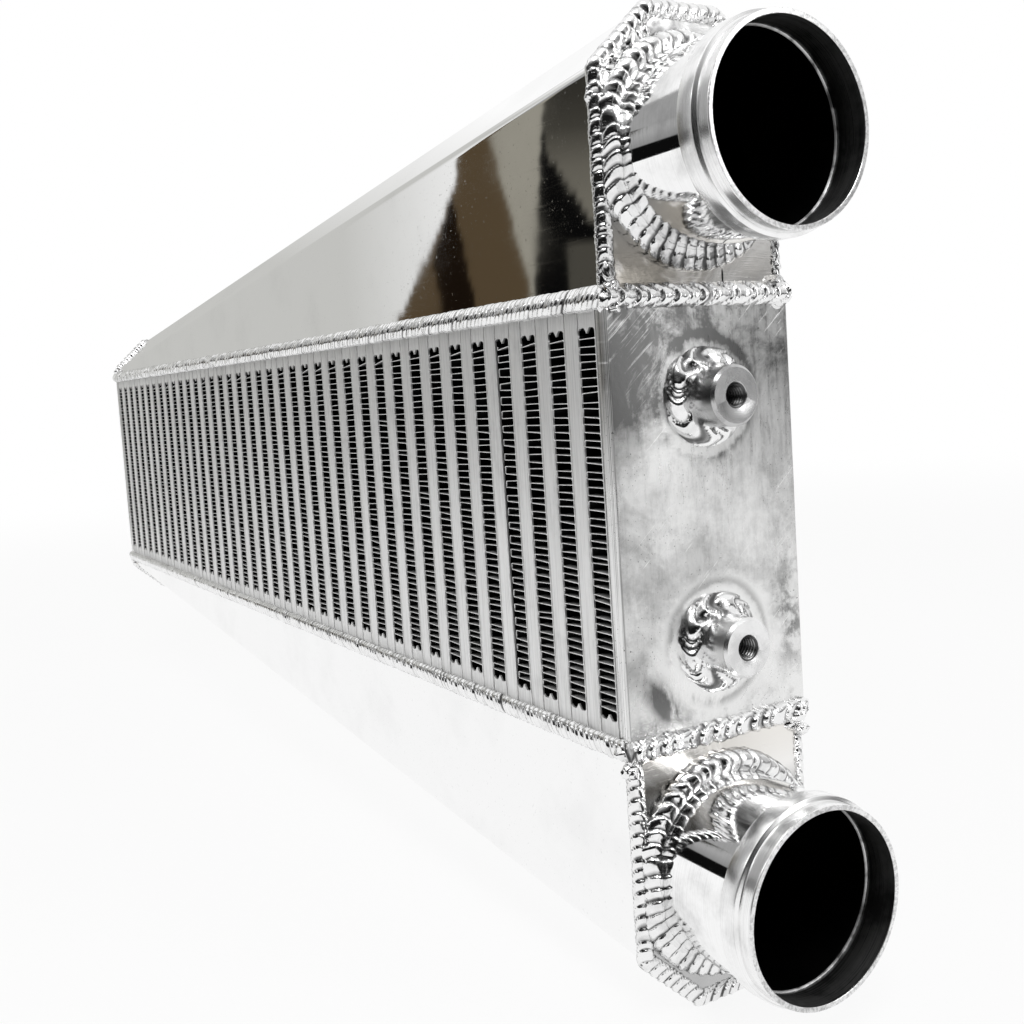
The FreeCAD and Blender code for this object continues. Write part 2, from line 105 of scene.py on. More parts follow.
SHEET = 0.0005  # thickness of a parting sheet
HOLD = 0.0006  # room between a bend and the point beside it that keeps a flat's shading level
FIN_STEPS = 5  # points on one fin wall
FIN_MARGIN = 0.0008  # room left below and above a column's fins together
TANK_RINGS = 25  # sections along a tank's shell
PIPE_SEGMENTS, BOSS_SEGMENTS = 144, 64
THREAD_LIP = 0.0005  # bevel at the mouth of a thread
BAR_SETBACK = 0.0002  # how far the closing bars stand behind the core's faces
MELTED_POOLS = 34  # pools of weld metal in the patch on the upper pipe's bead
CORNER_POOLS, NEAR_CORNER_POOLS = 5, 13  # pools at each corner of the core's beads


def metres(name, description, default):
    """A length that a user may change, in metres."""
    return FloatProperty(name=name, description=description, default=default, unit="LENGTH", precision=5)


def swatch(name, description, *default):
    """A colour that a user may change."""
    return FloatVectorProperty(
        name=name, description=description, default=default, subtype="COLOR", min=0, max=1
    )


class CoreSizes(bpy.types.PropertyGroup):
    passages: IntProperty(name="Passages", description="Upright charge air passages", default=37, min=1)
    bar_width: metres("Bar width", "Width of a charge bar", 0.0073)
    bar_edge: metres("Bar edge", "Rounding of a bar's long edges", 0.0004)
    joint_line: metres("Joint line", "Dark line between a bar and its sheets", 0.00014)
    plate_edge: metres("Plate edge", "Rounding of a side plate's edges", 0.0006)
    fin_pitch: metres("Fin pitch", "Height of one fin wall", 0.00252)
    fin_wall: metres("Fin wall", "Thickness of the fin strip", 0.00028)
    tooth_height: metres("Tooth height", "Reach of a closing bar's tooth", 0.0017)
    tooth_width: metres("Tooth width", "Width of that tooth at its root", 0.0028)


class TankSizes(bpy.types.PropertyGroup):
    wall: metres("Wall", "Thickness of the sheet", 0.003)
    bend: metres("Bend", "Outside radius of a fold", 0.0042)
    bevel_height: metres("Bevel height", "Height of the bevel", 0.0205)
    bevel_width: metres("Bevel width", "Width of the bevel", 0.0222)


class PipeSizes(bpy.types.PropertyGroup):
    radius: metres("Radius", "Outside radius of a pipe", 0.03175)
    wall: metres("Wall", "Wall of a pipe", 0.00165)
    bead_rise: metres("Bead rise", "Rise of the rolled bead", 0.00145)
    bead_setback: metres("Bead setback", "Mouth to rolled bead", 0.005)
    bead_length: metres("Bead length", "Length of the rolled bead", 0.0079)


class BossSizes(bpy.types.PropertyGroup):
    radius: metres("Radius", "Outside radius of a boss", 0.01)
    reach: metres("Reach", "Height of a boss", 0.0152)
    edge: metres("Edge", "Bevel of the outer edge", 0.001)
    bore: metres("Bore", "Minor radius of the thread", 0.0034)
    thread_pitch: metres("Thread pitch", "Pitch of the thread", 0.00125)
    thread_height: metres("Thread height", "Depth of the thread's groove", 0.0006)
    depth: metres("Depth", "Depth of the hole", 0.013)


class WeldSizes(bpy.types.PropertyGroup):
    core_ripple: metres("Core ripple", "Ripple length round the core", 0.0029)
    end_ripple: metres("End ripple", "Ripple length across the core's ends", 0.0056)
    cap_ripple: metres("Cap ripple", "Ripple length round a cap", 0.0039)
    pipe_ripple: metres("Pipe ripple", "Ripple length round a pipe", 0.0047)
    boss_ripple: metres("Boss ripple", "Ripple length round a boss", 0.0062)
    core_width: metres("Core bead", "Height of the bead round the core", 0.0082)
    pipe_width: metres("Pipe bead", "Radial width of a pipe's bead", 0.0066)
    pipe_height: metres("Pipe bead height", "Height of a pipe's bead", 0.0038)
    boss_width: metres("Boss bead", "Radial width of a boss's bead", 0.0068)
    boss_height: metres("Boss bead height", "Height of a boss's bead", 0.0046)


class Colours(bpy.types.PropertyGroup):
    polished: swatch("Polished", "Polished sheet and pipe", 0.95, 0.95, 0.95)
    satin: swatch("Satin", "Plates and bars", 0.80, 0.80, 0.795)
    bead: swatch("Bead", "Weld metal", 0.90, 0.90, 0.90)
    fin: swatch("Fin", "Fin strip", 0.62, 0.62, 0.62)
    tint: swatch("Tint", "Warm tint beside the welds", 0.62, 0.55, 0.44)
    floor: swatch("Floor", "Studio floor", 0.92, 0.92, 0.92)


PROPERTY_GROUPS = {
    "cooler_core": CoreSizes,
    "cooler_tank": TankSizes,
    "cooler_pipe": PipeSizes,
    "cooler_boss": BossSizes,
    "cooler_weld": WeldSizes,
    "cooler_colours": Colours,
}


class Wire:
    """An output of a node. Sums and products of wires add Math nodes to their tree."""

    def __init__(self, nodes, socket):
        self.nodes = nodes
        self.socket = socket

    def math(self, operation, *values):
        return self.nodes.add("ShaderNodeMath", {"operation": operation}, dict(enumerate(values)))

    def __add__(self, other):
        return self.math("ADD", self, other)

    def __radd__(self, other):
        return self.math("ADD", other, self)

    def __sub__(self, other):
        return self.math("SUBTRACT", self, other)

    def __rsub__(self, other):
        return self.math("SUBTRACT", other, self)

    def __mul__(self, other):
        return self.math("MULTIPLY", self, other)

    def __rmul__(self, other):
        return self.math("MULTIPLY", other, self)

    def __truediv__(self, other):
        return self.math("DIVIDE", self, other)

    def __rtruediv__(self, other):
        return self.math("DIVIDE", other, self)

    def __pow__(self, other):
        return self.math("POWER", self, other)

    def largest(self, other):
        return self.math("MAXIMUM", self, other)

    def smallest(self, other):
        return self.math("MINIMUM", self, other)

    def size(self):
        return self.math("ABSOLUTE", self)

    def part(self):
        return self.math("FRACT", self)

    def whole(self):
        return self.math("FLOOR", self)

    def sine(self):
        return self.math("SINE", self)

    def cosine(self):
        return self.math("COSINE", self)

    def root(self):
        return self.math("SQRT", self)

    def rise(self, low, high):
        """0 below low, 1 above high, smooth between."""
        sockets = {"Value": self, "From Min": low, "From Max": high}
        return self.nodes.add("ShaderNodeMapRange", {"interpolation_type": "SMOOTHSTEP"}, sockets)

    def near(self, middle, reach):
        """1 where the value is middle, falling to 0 at reach from it."""
        return 1 - (self - middle).size().rise(0, reach)


class Nodes:
    """A shader or geometry tree, written as Python expressions."""

    def __init__(self, tree):
        self.tree = tree

    def add(self, kind, settings=None, sockets=None, output=0):
        """Makes any node: its settings, then its sockets' values or links. A list holds several links."""
        made = self.tree.nodes.new(kind)
        for name, value in (settings or {}).items():
            if name == "stops":
                self.set_stops(made.color_ramp, value)
            else:
                setattr(made, name, value)
        for key, values in (sockets or {}).items():
            for value in values if isinstance(values, list) else [values]:
                if isinstance(value, Wire):
                    self.tree.links.new(value.socket, made.inputs[key])
                else:
                    made.inputs[key].default_value = value
        return Wire(self, made.outputs[output]) if made.outputs else None

    @staticmethod
    def set_stops(ramp, stops):
        """Gives a ramp its grey stops, each a place and a level."""
        while len(ramp.elements) > 1:
            ramp.elements.remove(ramp.elements[-1])
        ramp.elements[0].position = stops[0][0]
        for spot, _ in stops[1:]:
            ramp.elements.new(spot)
        for element, (_, level) in zip(ramp.elements, stops):
            element.color = (level, level, level, 1.0)

    def ramp(self, value, *stops):
        return self.add("ShaderNodeValToRGB", {"stops": stops}, {"Fac": value})

    def vector(self, **axes):
        """A vector from a number for each axis that is named."""
        return self.add("ShaderNodeCombineXYZ", {}, axes)

    def place(self):
        """The three Object coordinates, in metres."""
        whole = self.add("ShaderNodeTexCoord", output="Object")
        return [self.add("ShaderNodeSeparateXYZ", {}, {0: whole}, axis) for axis in range(3)]

    def noise(self, scale, detail=3.0, rough=0.5, vector=None, twist=0.0):
        """Cloud noise from 0 to 1. scale counts its blotches in a metre."""
        if vector is None:
            vector = self.add("ShaderNodeTexCoord", output="Object")
        sockets = {"Vector": vector, "Scale": scale, "Detail": detail, "Roughness": rough}
        return self.add("ShaderNodeTexNoise", {}, {**sockets, "Distortion": twist})

    def streaks(self, x, y, z, detail=2, rough=0.6):
        """Noise with its own count of blotches in a metre along each axis."""
        whole = self.add("ShaderNodeTexCoord", output="Object")
        scaled = self.add("ShaderNodeMapping", {}, {"Vector": whole, "Scale": (x, y, z)})
        return self.noise(1, detail, rough, scaled)

    def drift(self, along, detail=2.0):
        """Slow noise along a number."""
        return self.add("ShaderNodeTexNoise", {"noise_dimensions": "1D"}, {"W": along, "Detail": detail})

    def chance(self, number):
        """A random number from 0 to 1 of its own for each number."""
        return self.add("ShaderNodeTexWhiteNoise", {"noise_dimensions": "1D"}, {"W": number})

    def attribute(self, name):
        return self.add("ShaderNodeAttribute", {"attribute_name": name}, output="Fac")

    def kept(self, name):
        """A number that the mesh or an earlier node of a geometry tree keeps."""
        return self.add("GeometryNodeInputNamedAttribute", {"data_type": "FLOAT"}, {"Name": name})

    def keep(self, geometry, name, value, domain="POINT"):
        settings = {"data_type": "FLOAT", "domain": domain}
        sockets = {"Geometry": geometry, "Name": name, "Value": value}
        return self.add("GeometryNodeStoreNamedAttribute", settings, sockets)

    def colour_mix(self, share, first, second):
        """A colour between two colours."""
        return self.add("ShaderNodeMix", {"data_type": "RGBA"}, {0: share, 6: first, 7: second}, 2)

    def shades(self, share, paint, light, dark):
        """A paint between a light and a dark strength of it."""
        return self.colour_mix(share, opaque(paint, light), opaque(paint, dark))

    def bump(self, height, distance, strength=1.0, under=None):
        sockets = {"Height": height, "Distance": distance, "Strength": strength}
        if under is not None:
            sockets["Normal"] = under
        return self.add("ShaderNodeBump", {}, sockets)

    def metal(self, colour, roughness, normal, metallic=1.0):
        """Ends a material's tree in one metal shader."""
        sockets = {"Base Color": colour, "Metallic": metallic, "Roughness": roughness, "Normal": normal}
        self.surface(self.add("ShaderNodeBsdfPrincipled", {}, sockets))

    def surface(self, shader):
        self.add("ShaderNodeOutputMaterial", {}, {"Surface": shader})


def opaque(colour, factor=1.0):
    return (colour[0] * factor, colour[1] * factor, colour[2] * factor, 1.0)


def away_from(first, second):
    """Distance from an axis, from the two coordinates across it."""
    return (first * first + second * second).root()


def new_finish(name):
    """An empty material and its tree."""
    material = bpy.data.materials.new(name)
    material.use_nodes = True
    material.node_tree.nodes.clear()
    return material, Nodes(material.node_tree)


def polished_sheet(nodes, colours):
    """Mirror-polished folded sheet: slow waves in the reflection, faint wipe marks and fine scratches."""
    smudge = nodes.noise(22, 4, 0.55).rise(0.45, 0.75)
    lines = nodes.streaks(40, 2600, 900).rise(0.55, 0.8)
    specks = nodes.noise(900, 1).rise(0.70, 0.76)
    roughness = 0.03 + 0.04 * smudge + 0.02 * lines + 0.10 * specks
    normal = nodes.bump(nodes.noise(9, 1, 0.4), 0.0001, 1.0, nodes.bump(lines, 0.0000008))
    nodes.metal(nodes.shades(0.35 * smudge + 0.3 * specks, colours.polished, 1, 0.82), roughness, normal)


SCRATCH_SLOPE = (0.755, 0.656)  # cosine and sine of the slope of the plate's scratches


def boss_marks(place, clouds, small):
    """The frosted halo that welding leaves round each boss, and the darker fringe at its edge."""
    x, y, z = place
    halo = fringe = 0.0 * x
    for height in BOSS_HEIGHTS:
        radius = away_from(y, z - height) + 0.0060 * (clouds - 0.5) + 0.0030 * (small - 0.5)
        halo = halo.largest(1 - radius.rise(0.0190, 0.0210))
        side = 0.6 * (y + z - height).rise(-0.004, 0.016)
        ring = (side + (clouds + 0.25 * small).rise(0.52, 0.72)).smallest(1.0)
        fringe = fringe.largest(radius.near(0.0205, 0.0030) * ring)
    return halo, fringe


def satin_plate(nodes, colours):
    """Mill-finish plate: cloudy smudges, rub marks, scratches, pits and frosted halos round the bosses, with
    a painted dark reflection along the top and painted light low down and round the lower boss.
    """
    x, y, z = nodes.place()
    clouds = nodes.noise(30, 7, 0.70, twist=0.5)
    small = nodes.noise(120, 5, 0.70)
    rub = nodes.streaks(20, 330, 48, 5, 0.75).rise(0.42, 0.72)
    cosine, sine = SCRATCH_SLOPE
    slant = nodes.vector(X=x * 20, Y=(cosine * z - sine * y) * 1900, Z=(cosine * y + sine * z) * 60)
    scratches = nodes.noise(1, 2, 0.5, slant).rise(0.66, 0.72) * nodes.noise(33, 2).rise(0.52, 0.64)
    pits = nodes.noise(1400, 1).rise(0.70, 0.75) * nodes.noise(40, 3).rise(0.40, 0.62)
    halo, fringe = boss_marks((x, y, z), clouds, small)
    edge = y.size().rise(HALF_DEPTH - 0.0006, HALF_DEPTH - 0.0002)
    grooves = nodes.streaks(2400, 20, 18).rise(0.45, 0.62) * edge
    # Painted dark reflection: upper marks the band along the top of the plate, which is darkened.
    upper = (z - 0.18 * y).rise(0.026, 0.048)
    # Painted light: low marks the bottom of the plate, which is lightened.
    low = 1 - z.rise(-0.064, -0.046)
    stroke = (y + 0.024 + 0.5 * (z + 0.058)).near(0.0, 0.010)
    stroke = stroke * z.near(-0.060, 0.014) * clouds.rise(0.30, 0.50)
    weld_side = z.size().rise(HALF_HEIGHT - 0.014, HALF_HEIGHT - 0.004)
    streaks = nodes.noise(1, 3, 0.6, slant).rise(0.52, 0.66)
    streaks = streaks * z.rise(0.040, 0.054) * (1 - y.rise(-0.024, -0.012))
    # Distance from the lower boss: inside it the plate is lightened as painted light.
    lower_boss_distance = away_from(y, z + 0.046) + 0.016 * (clouds - 0.5)
    shade = 0.06 + 0.30 * clouds.rise(0.40, 0.62) + 0.16 * rub + 0.16 * small.rise(0.42, 0.66)
    # The smears vary the painted dark reflection along the top and darken it towards the front edge.
    smears_and_dark_reflection = 0.22 * clouds.rise(0.35, 0.65) + 0.10 * small.rise(0.35, 0.65)
    smears_and_dark_reflection = smears_and_dark_reflection + 0.14 * (1 - y.rise(-0.030, 0.005))
    rubbed = y.near(0.034, 0.012) * z.near(-0.038, 0.030) * small.rise(0.40, 0.62)
    # Painted light lightens the plate low down and round the lower boss; the top band gets its painted dark
    # reflection.
    shade = shade * (1 - 0.80 * low.largest(1 - lower_boss_distance.rise(0.024, 0.031))) + (0.34 + smears_and_dark_reflection) * upper
    shade = shade + 0.10 * (1 - y.rise(-0.036, -0.012)) + 1.3 * stroke + 0.6 * rubbed
    shade = shade + 0.45 * small.rise(0.5, 0.75) * weld_side
    shade = shade - 0.50 * scratches + 0.45 * fringe - 0.35 * streaks
    shade = shade * (1 - 0.60 * halo * (1 - 0.75 * upper)) * (1 - 0.85 * edge)
    shade = (shade + 0.75 * pits + 0.6 * grooves).smallest(1.0).largest(0.0)
    colour = nodes.shades(shade, colours.satin, 1.08, 0.17)
    roughness = 0.25 + 0.14 * clouds + 0.10 * scratches + 0.06 * small - 0.10 * rub - 0.10 * low
    normal = nodes.bump(scratches, 0.00003, 1.0, nodes.bump(small, 0.00016, 0.7))
    nodes.metal(colour, roughness, normal)


def cap_plate(nodes, colours):
    """The tanks' end plates: polished, with painted dark reflections in cloudy patches on the front side, a
    painted shadow band by the core's weld, a darker bottom on the lower cap, and a warm tint low down where
    the welds meet.
    """
    x, y, z = nodes.place()
    clouds = nodes.noise(30, 4, 0.6, twist=0.5)
    lines = nodes.streaks(20, 120, 2400).rise(0.50, 0.8)
    warm = (1 - z.size().rise(HALF_HEIGHT + 0.006, HALF_HEIGHT + 0.030)) * clouds.rise(0.25, 0.5)
    # Painted dark reflections: cloudy patches on the front side, fainter on the lower cap.
    painted_darkness = clouds.rise(0.36, 0.54) * (1 - y.rise(-0.015, 0.030)) * (0.4 + 0.6 * z.rise(0.0, 0.01))
    shadow = z.size().near(HALF_HEIGHT + 0.014, 0.006) * (1 - y.rise(-0.012, 0.004)) * clouds.rise(0.30, 0.45)
    # Painted darkness: the dark reflections, the painted shadow band, and a darker bottom on the lower cap.
    painted_darkness = (0.95 * painted_darkness).largest(0.95 * shadow).largest((0.42 + 0.25 * clouds) * (1 - z.rise(-0.10, -0.09)))
    base = nodes.shades(painted_darkness, colours.polished, 1, 0.16)
    tick = (3 * (y - 0.0116).near(0.0, 0.0005) * (z - 0.0789).near(0.0, 0.0030)).smallest(1.0)
    colour = nodes.colour_mix(warm * 0.30, base, opaque(colours.tint))
    colour = nodes.colour_mix(tick, colour, opaque(colours.polished, 0.01))
    roughness = 0.10 + 0.12 * clouds + 0.10 * lines
    nodes.metal(colour, roughness, nodes.bump(clouds, 0.00025, 1.0, nodes.bump(lines, 0.000008)))


def bar_satin(nodes, colours):
    """Satin sawn bars, each a little different, with fine lines along their length and painted shade where
    they run back into the core.
    """
    own = nodes.chance(nodes.attribute("copy"))
    grain = nodes.streaks(1500, 1500, 40, 3)
    stain = nodes.noise(70, 4, 0.6).rise(0.52, 0.75)
    x, y, z = nodes.place()
    # Painted shade: the bars turn nearly black where they run back into the core, behind its faces.
    hidden = 1 - y.size().rise(HALF_DEPTH - 0.0012, HALF_DEPTH - 0.0006)
    ends = z.size().rise(HALF_HEIGHT - 0.009, HALF_HEIGHT - 0.003)
    shade = own * 0.14 + grain.rise(0.40, 0.7) * 0.34 + stain * 0.26 + 0.35 * ends
    face = nodes.shades(shade, colours.satin, 1.06, 0.6)
    colour = nodes.colour_mix(hidden, face, opaque(colours.satin, 0.02))
    nodes.metal(colour, 0.40 + 0.18 * grain, nodes.bump(grain, 0.00003), 0.85)


def dull_sheet(nodes, colours):
    """Parting sheets and charge fins: dull with brazing flux, and darkened by painted shade away from the
    faces.
    """
    x, y, z = nodes.place()
    # Painted shade: nearly black from about a millimetre behind the core's faces.
    depth = 1 - y.size().rise(HALF_DEPTH - 0.0009, HALF_DEPTH - 0.0005)
    patches = nodes.noise(260, 3).rise(0.4, 0.7)
    shade = (depth + 0.22 * patches).smallest(1.0)
    colour = nodes.colour_mix(shade, opaque(colours.satin, 1.05), opaque(colours.fin, 0.02))
    nodes.metal(colour, 0.5 + 0.2 * patches, nodes.bump(patches, 0.00004))


def fin_strip(nodes, colours):
    """Thin fin strip: a bright cut edge at each face and walls darkened behind it by painted shade."""
    x, y, z = nodes.place()
    face = FIN_BOX[1][1]
    edge = y.size().rise(face - 0.0003, face - 0.00005)
    bend = (nodes.attribute("turns").part() - 0.5).size().rise(0.14, 0.24)
    # Painted shade: the walls darken with depth behind the face, and at the bends close behind it.
    deep = 1 - y.size().rise(face - 0.0070, face - 0.0002)
    near = 1 - y.size().rise(face - 0.0006, face - 0.0001)
    depth = ((deep * 1.3).smallest(1.0)).largest(near * bend)
    specks = nodes.noise(900, 2).rise(0.45, 0.7)
    wall = nodes.shades(depth, colours.fin, 0.42, 0.012)
    colour = nodes.colour_mix(edge * (1 - 0.35 * specks), wall, opaque(colours.fin, 1.5))
    nodes.metal(colour, 0.42 + 0.2 * specks, nodes.bump(specks, 0.00002))


def pipe_polish(nodes, colours):
    """Polished tube with turning marks round it, a satin rim and a dull bore with painted shade deepening
    into it and a painted highlight at its groove.
    """
    x, y, z = nodes.place()
    height = z.size() - PIPE_HEIGHT
    radius = away_from(y, height)
    smudge = nodes.noise(60, 4, 0.6).rise(0.42, 0.75)
    turning = nodes.streaks(5200, 30, 30).rise(0.45, 0.8)
    rim = x.rise(PIPE_MOUTH - 0.0003, PIPE_MOUTH - 0.0001)
    filed = nodes.streaks(20, 900, 900, 3).rise(0.42, 0.62)
    bead = x.rise(PIPE_MOUTH - 0.0133, PIPE_MOUTH - 0.0126)
    # Painted shade in the bore, deepening away from the mouth.
    inside = (1 - radius.rise(0.03085, 0.0312)) * (1 - rim)
    depth = 1 - x.rise(PIPE_MOUTH - 0.016, PIPE_MOUTH - 0.003)
    # Painted highlight: a lighter ring inside the bore at the rolled bead's groove.
    line = x.near(PIPE_MOUTH - 0.0118, 0.0012) * nodes.noise(160, 3).rise(0.32, 0.55)
    roughness = 0.04 + 0.05 * smudge + (0.17 + 0.05 * turning) * bead + 0.10 * rim + 0.25 * inside
    shade = 0.26 * smudge * (1 - rim) + 0.12 * turning + 0.15 * turning * bead + rim * (0.05 + 0.30 * filed)
    shade = (shade + inside * (0.70 + 0.27 * depth - 0.85 * line)).smallest(0.97).largest(0.0)
    colour = nodes.shades(shade, colours.polished, 1, 0.03)
    normal = nodes.bump(nodes.noise(30, 1), 0.00008, 0.6, nodes.bump(turning, 0.0000012))
    nodes.metal(colour, roughness, normal)


def turned_boss(nodes, colours):
    """Turned bosses: rings on the face, bright edge, a thread darkened by painted shade with lighter crests,
    and more painted shade on the upper bosses' faces.
    """
    x, y, z = nodes.place()
    low, high = sorted(BOSS_HEIGHTS)
    upper = z.rise(0.0, 0.001)
    height = z - low - upper * (high - low)
    radius = away_from(y, height)
    rings = (radius * 16000).sine() * 0.5 + 0.5
    smudge = nodes.noise(120, 3).rise(0.4, 0.7)
    face = x.size().rise(BOSSES[1][0] - 0.0302, BOSSES[1][0] - 0.0299)
    # Painted shade in the threaded hole, lighter on the thread's crests.
    thread = 1 - radius.rise(0.0041, 0.0043)
    crest = 1 - radius.rise(0.0034, 0.0038)
    # The upper bosses' faces get more painted shade than the lower ones.
    shade = (0.22 * smudge + (0.12 + 0.34 * upper) * face + thread * (0.95 - 0.75 * crest)).smallest(1.0)
    roughness = 0.07 + 0.17 * face + 0.05 * smudge + 0.10 * thread
    colour = nodes.shades(shade, colours.polished, 1, 0.10)
    nodes.metal(colour, roughness, nodes.bump(rings * face, 0.000006))


def weld_metal(nodes, colours):
    """Weld beads: bright crests, dull valleys darkened by painted shade, a little frost, and a painted dark
    reflection under the upper pipe.
    """
    crest = nodes.attribute("crest")
    frost = nodes.noise(1500, 2).rise(0.5, 0.75)
    blotch = nodes.noise(150, 3).rise(0.45, 0.7)
    # Painted shade: the valleys between the ripples are darkened.
    valley = 1 - crest.rise(0.14, 0.62)
    x, y, z = nodes.place()
    # Painted dark reflection on the lower side of the upper pipe's bead.
    dark_reflection_under_pipe = z.near(PIPE_HEIGHT - 0.034, 0.014) * x.rise(CAP_FACE - 0.001, CAP_FACE + 0.001) * (0.2 + blotch)
    roughness = 0.10 + 0.20 * valley + 0.08 * blotch + 0.05 * frost
    shade = (0.9 * valley + 0.15 * blotch + 0.55 * dark_reflection_under_pipe).smallest(1.0)
    nodes.metal(nodes.shades(shade, colours.bead, 1, 0.10), roughness, nodes.bump(frost, 0.000015))


FINISHES = (
    polished_sheet,
    satin_plate,
    cap_plate,
    bar_satin,
    dull_sheet,
    fin_strip,
    pipe_polish,
    turned_boss,
    weld_metal,
)


def finish(name):
    """The named material, made the first time that it is asked for."""
    if name not in bpy.data.materials:
        make = next(one for one in FINISHES if one.__name__ == name)
        make(new_finish(name)[1], bpy.context.scene.cooler_colours)
    return bpy.data.materials[name]


class Shape:
    """Corners in metres and faces, with a number of each kind kept for every corner."""

    def __init__(self, corners, faces, layers=None):
        self.corners = np.asarray(corners, float).reshape(-1, 3)
        self.faces = [list(face) for face in faces]
        self.layers = {k: np.asarray(v, float) for k, v in (layers or {}).items()}


def joined(shapes):
    """Several shapes as one."""
    corners, faces, start = [], [], 0
    names = {name for shape in shapes for name in shape.layers}
    layers = {name: [] for name in names}
    for shape in shapes:
        corners.append(shape.corners)
        faces += [[i + start for i in face] for face in shape.faces]
        start += len(shape.corners)
        for name in names:
            layers[name].append(shape.layers.get(name, np.zeros(len(shape.corners))))
    return Shape(np.vstack(corners), faces, {k: np.concatenate(v) for k, v in layers.items()})


def mirrored(shape, axis):
    """A copy on the other side of the origin."""
    corners = shape.corners.copy()
    corners[:, axis] *= -1
    return Shape(corners, shape.faces, shape.layers)


def skin_over(rings, looped):
    """A closed skin through rings of corners. An open run of rings is capped at both ends."""
    count, around = rings.shape[:2]
    runs = np.arange(count if looped else count - 1)[:, None]
    spot = np.arange(around)[None, :]
    following = (spot + 1) % around
    here, ahead = runs * around, (runs + 1) % count * around
    faces = np.stack([here + spot, here + following, ahead + following, ahead + spot], -1)
    faces = faces.reshape(-1, 4).tolist()
    if not looped:
        faces.append(list(range(around)))
        faces.append([(count - 1) * around + i for i in range(around)])
    return Shape(rings, faces)


def as_object(name, shape, material, sharp=math.radians(35)):
    """A mesh object with its normals outwards and smooth shading up to the sharp angle."""
    mesh = bpy.data.meshes.new(name)
    mesh.from_pydata(shape.corners.tolist(), [], shape.faces)
    for layer, values in shape.layers.items():
        mesh.attributes.new(layer, "FLOAT", "POINT").data.foreach_set("value", values)
    work = bmesh.new()
    work.from_mesh(mesh)
    bmesh.ops.recalc_face_normals(work, faces=work.faces)
    work.to_mesh(mesh)
    work.free()
    mesh.shade_smooth()
    mesh.set_sharp_from_angle(angle=sharp)
    mesh.materials.append(material)
    made = bpy.data.objects.new(name, mesh)
    bpy.context.scene.collection.objects.link(made)
    return made


def dress(node, shape, look, sharp=35, tree=None, values=None, name=None):
    """Makes a node's finished piece, runs its geometry tree, ties it to the frame and replaces the node."""
    made = as_object(name or node + "_dressed", shape, finish(look), math.radians(sharp))
    if tree:
        grow(made, tree, {**values, "Material": finish(look)})
    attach(made, "root")
    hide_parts(node)


def paint(node, look):
    """Gives a node of the frame its finish."""
    mesh = frame["nodes"][node].data
    mesh.materials.clear()
    mesh.materials.append(finish(look))


def geometry_tree(name, *sizes):
    """A new geometry tree with an input for each named size, its nodes and the inputs' wires."""
    tree = bpy.data.node_groups.new(name, "GeometryNodeTree")
    kinds = {"Geometry": "Geometry", "Material": "Material"}
    kinds.update(dict.fromkeys(("Count", "Columns", "Points"), "Int"))
    for label in ("Geometry", *sizes, "Material"):
        kind = "NodeSocket" + kinds.get(label, "Float")
        tree.interface.new_socket(name=label, in_out="INPUT", socket_type=kind)
    tree.interface.new_socket(name="Geometry", in_out="OUTPUT", socket_type="NodeSocketGeometry")
    nodes = Nodes(tree)
    entry = nodes.add("NodeGroupInput").socket.node
    return tree, nodes, {socket.name: Wire(nodes, socket) for socket in entry.outputs if socket.name}


def end_tree(nodes, geometry, inputs):
    """Every tree ends in real geometry with its material set."""
    real = nodes.add("GeometryNodeRealizeInstances", {}, {"Geometry": geometry})
    dressed = nodes.add("GeometryNodeSetMaterial", {}, {"Geometry": real, "Material": inputs["Material"]})
    nodes.add("NodeGroupOutput", {}, {"Geometry": dressed})


def grow(made, tree, values):
    """Runs a geometry tree on an object and keeps the result as a plain mesh."""
    modifier = made.modifiers.new(tree.name, "NODES")
    modifier.node_group = tree
    for item in tree.interface.items_tree:
        if item.item_type == "SOCKET" and item.in_out == "INPUT" and item.name in values:
            modifier[item.identifier] = values[item.name]
    graph = bpy.context.evaluated_depsgraph_get()
    graph.update()
    result = bpy.data.meshes.new_from_object(
        made.evaluated_get(graph), preserve_all_data_layers=True, depsgraph=graph
    )
    made.modifiers.clear()
    result.name = made.name
    made.data = result


def row_tree():
    """Copies of a piece at equal steps along X."""
    tree, nodes, inputs = geometry_tree("row_of_copies", "Count", "Pitch")
    step = nodes.vector(X=inputs["Pitch"])
    points = nodes.add("GeometryNodeMeshLine", {"mode": "OFFSET"}, {"Count": inputs["Count"], "Offset": step})
    copies = nodes.add("GeometryNodeInstanceOnPoints", {}, {"Points": points, "Instance": inputs["Geometry"]})
    end_tree(nodes, nodes.keep(copies, "copy", nodes.add("GeometryNodeInputIndex"), "INSTANCE"), inputs)
    return tree


def ripple_tree():
    """Ripples on a bead: rounded scales that bow across it, each a little different."""
    tree, nodes, inputs = geometry_tree("weld_ripples", "Ripple Height", "Wander", "Lumps", "Seed")
    along, skin = nodes.kept("along"), nodes.kept("skin")
    slow = nodes.drift(along * 0.23 + inputs["Seed"], 1.0)
    phase = along + inputs["Wander"] * (slow - 0.5)
    share = phase.part()
    own = nodes.chance(phase.whole() + inputs["Seed"])
    hump = (((share ** 0.47) * math.pi).sine().largest(0.0001)) ** 0.66
    lumps = nodes.add("ShaderNodeTexNoise", {}, {"Scale": 210.0, "Detail": 2.0}) - 0.5
    lift = inputs["Ripple Height"] * (hump * (0.75 + 0.5 * own) - 0.50 + inputs["Lumps"] * lumps)
    sockets = {0: nodes.add("GeometryNodeInputNormal"), "Scale": lift * skin}
    offset = nodes.add("ShaderNodeVectorMath", {"operation": "SCALE"}, sockets)
    marked = nodes.keep(inputs["Geometry"], "crest", hump)
    end_tree(nodes, nodes.add("GeometryNodeSetPosition", {}, {"Geometry": marked, "Offset": offset}), inputs)
    return tree


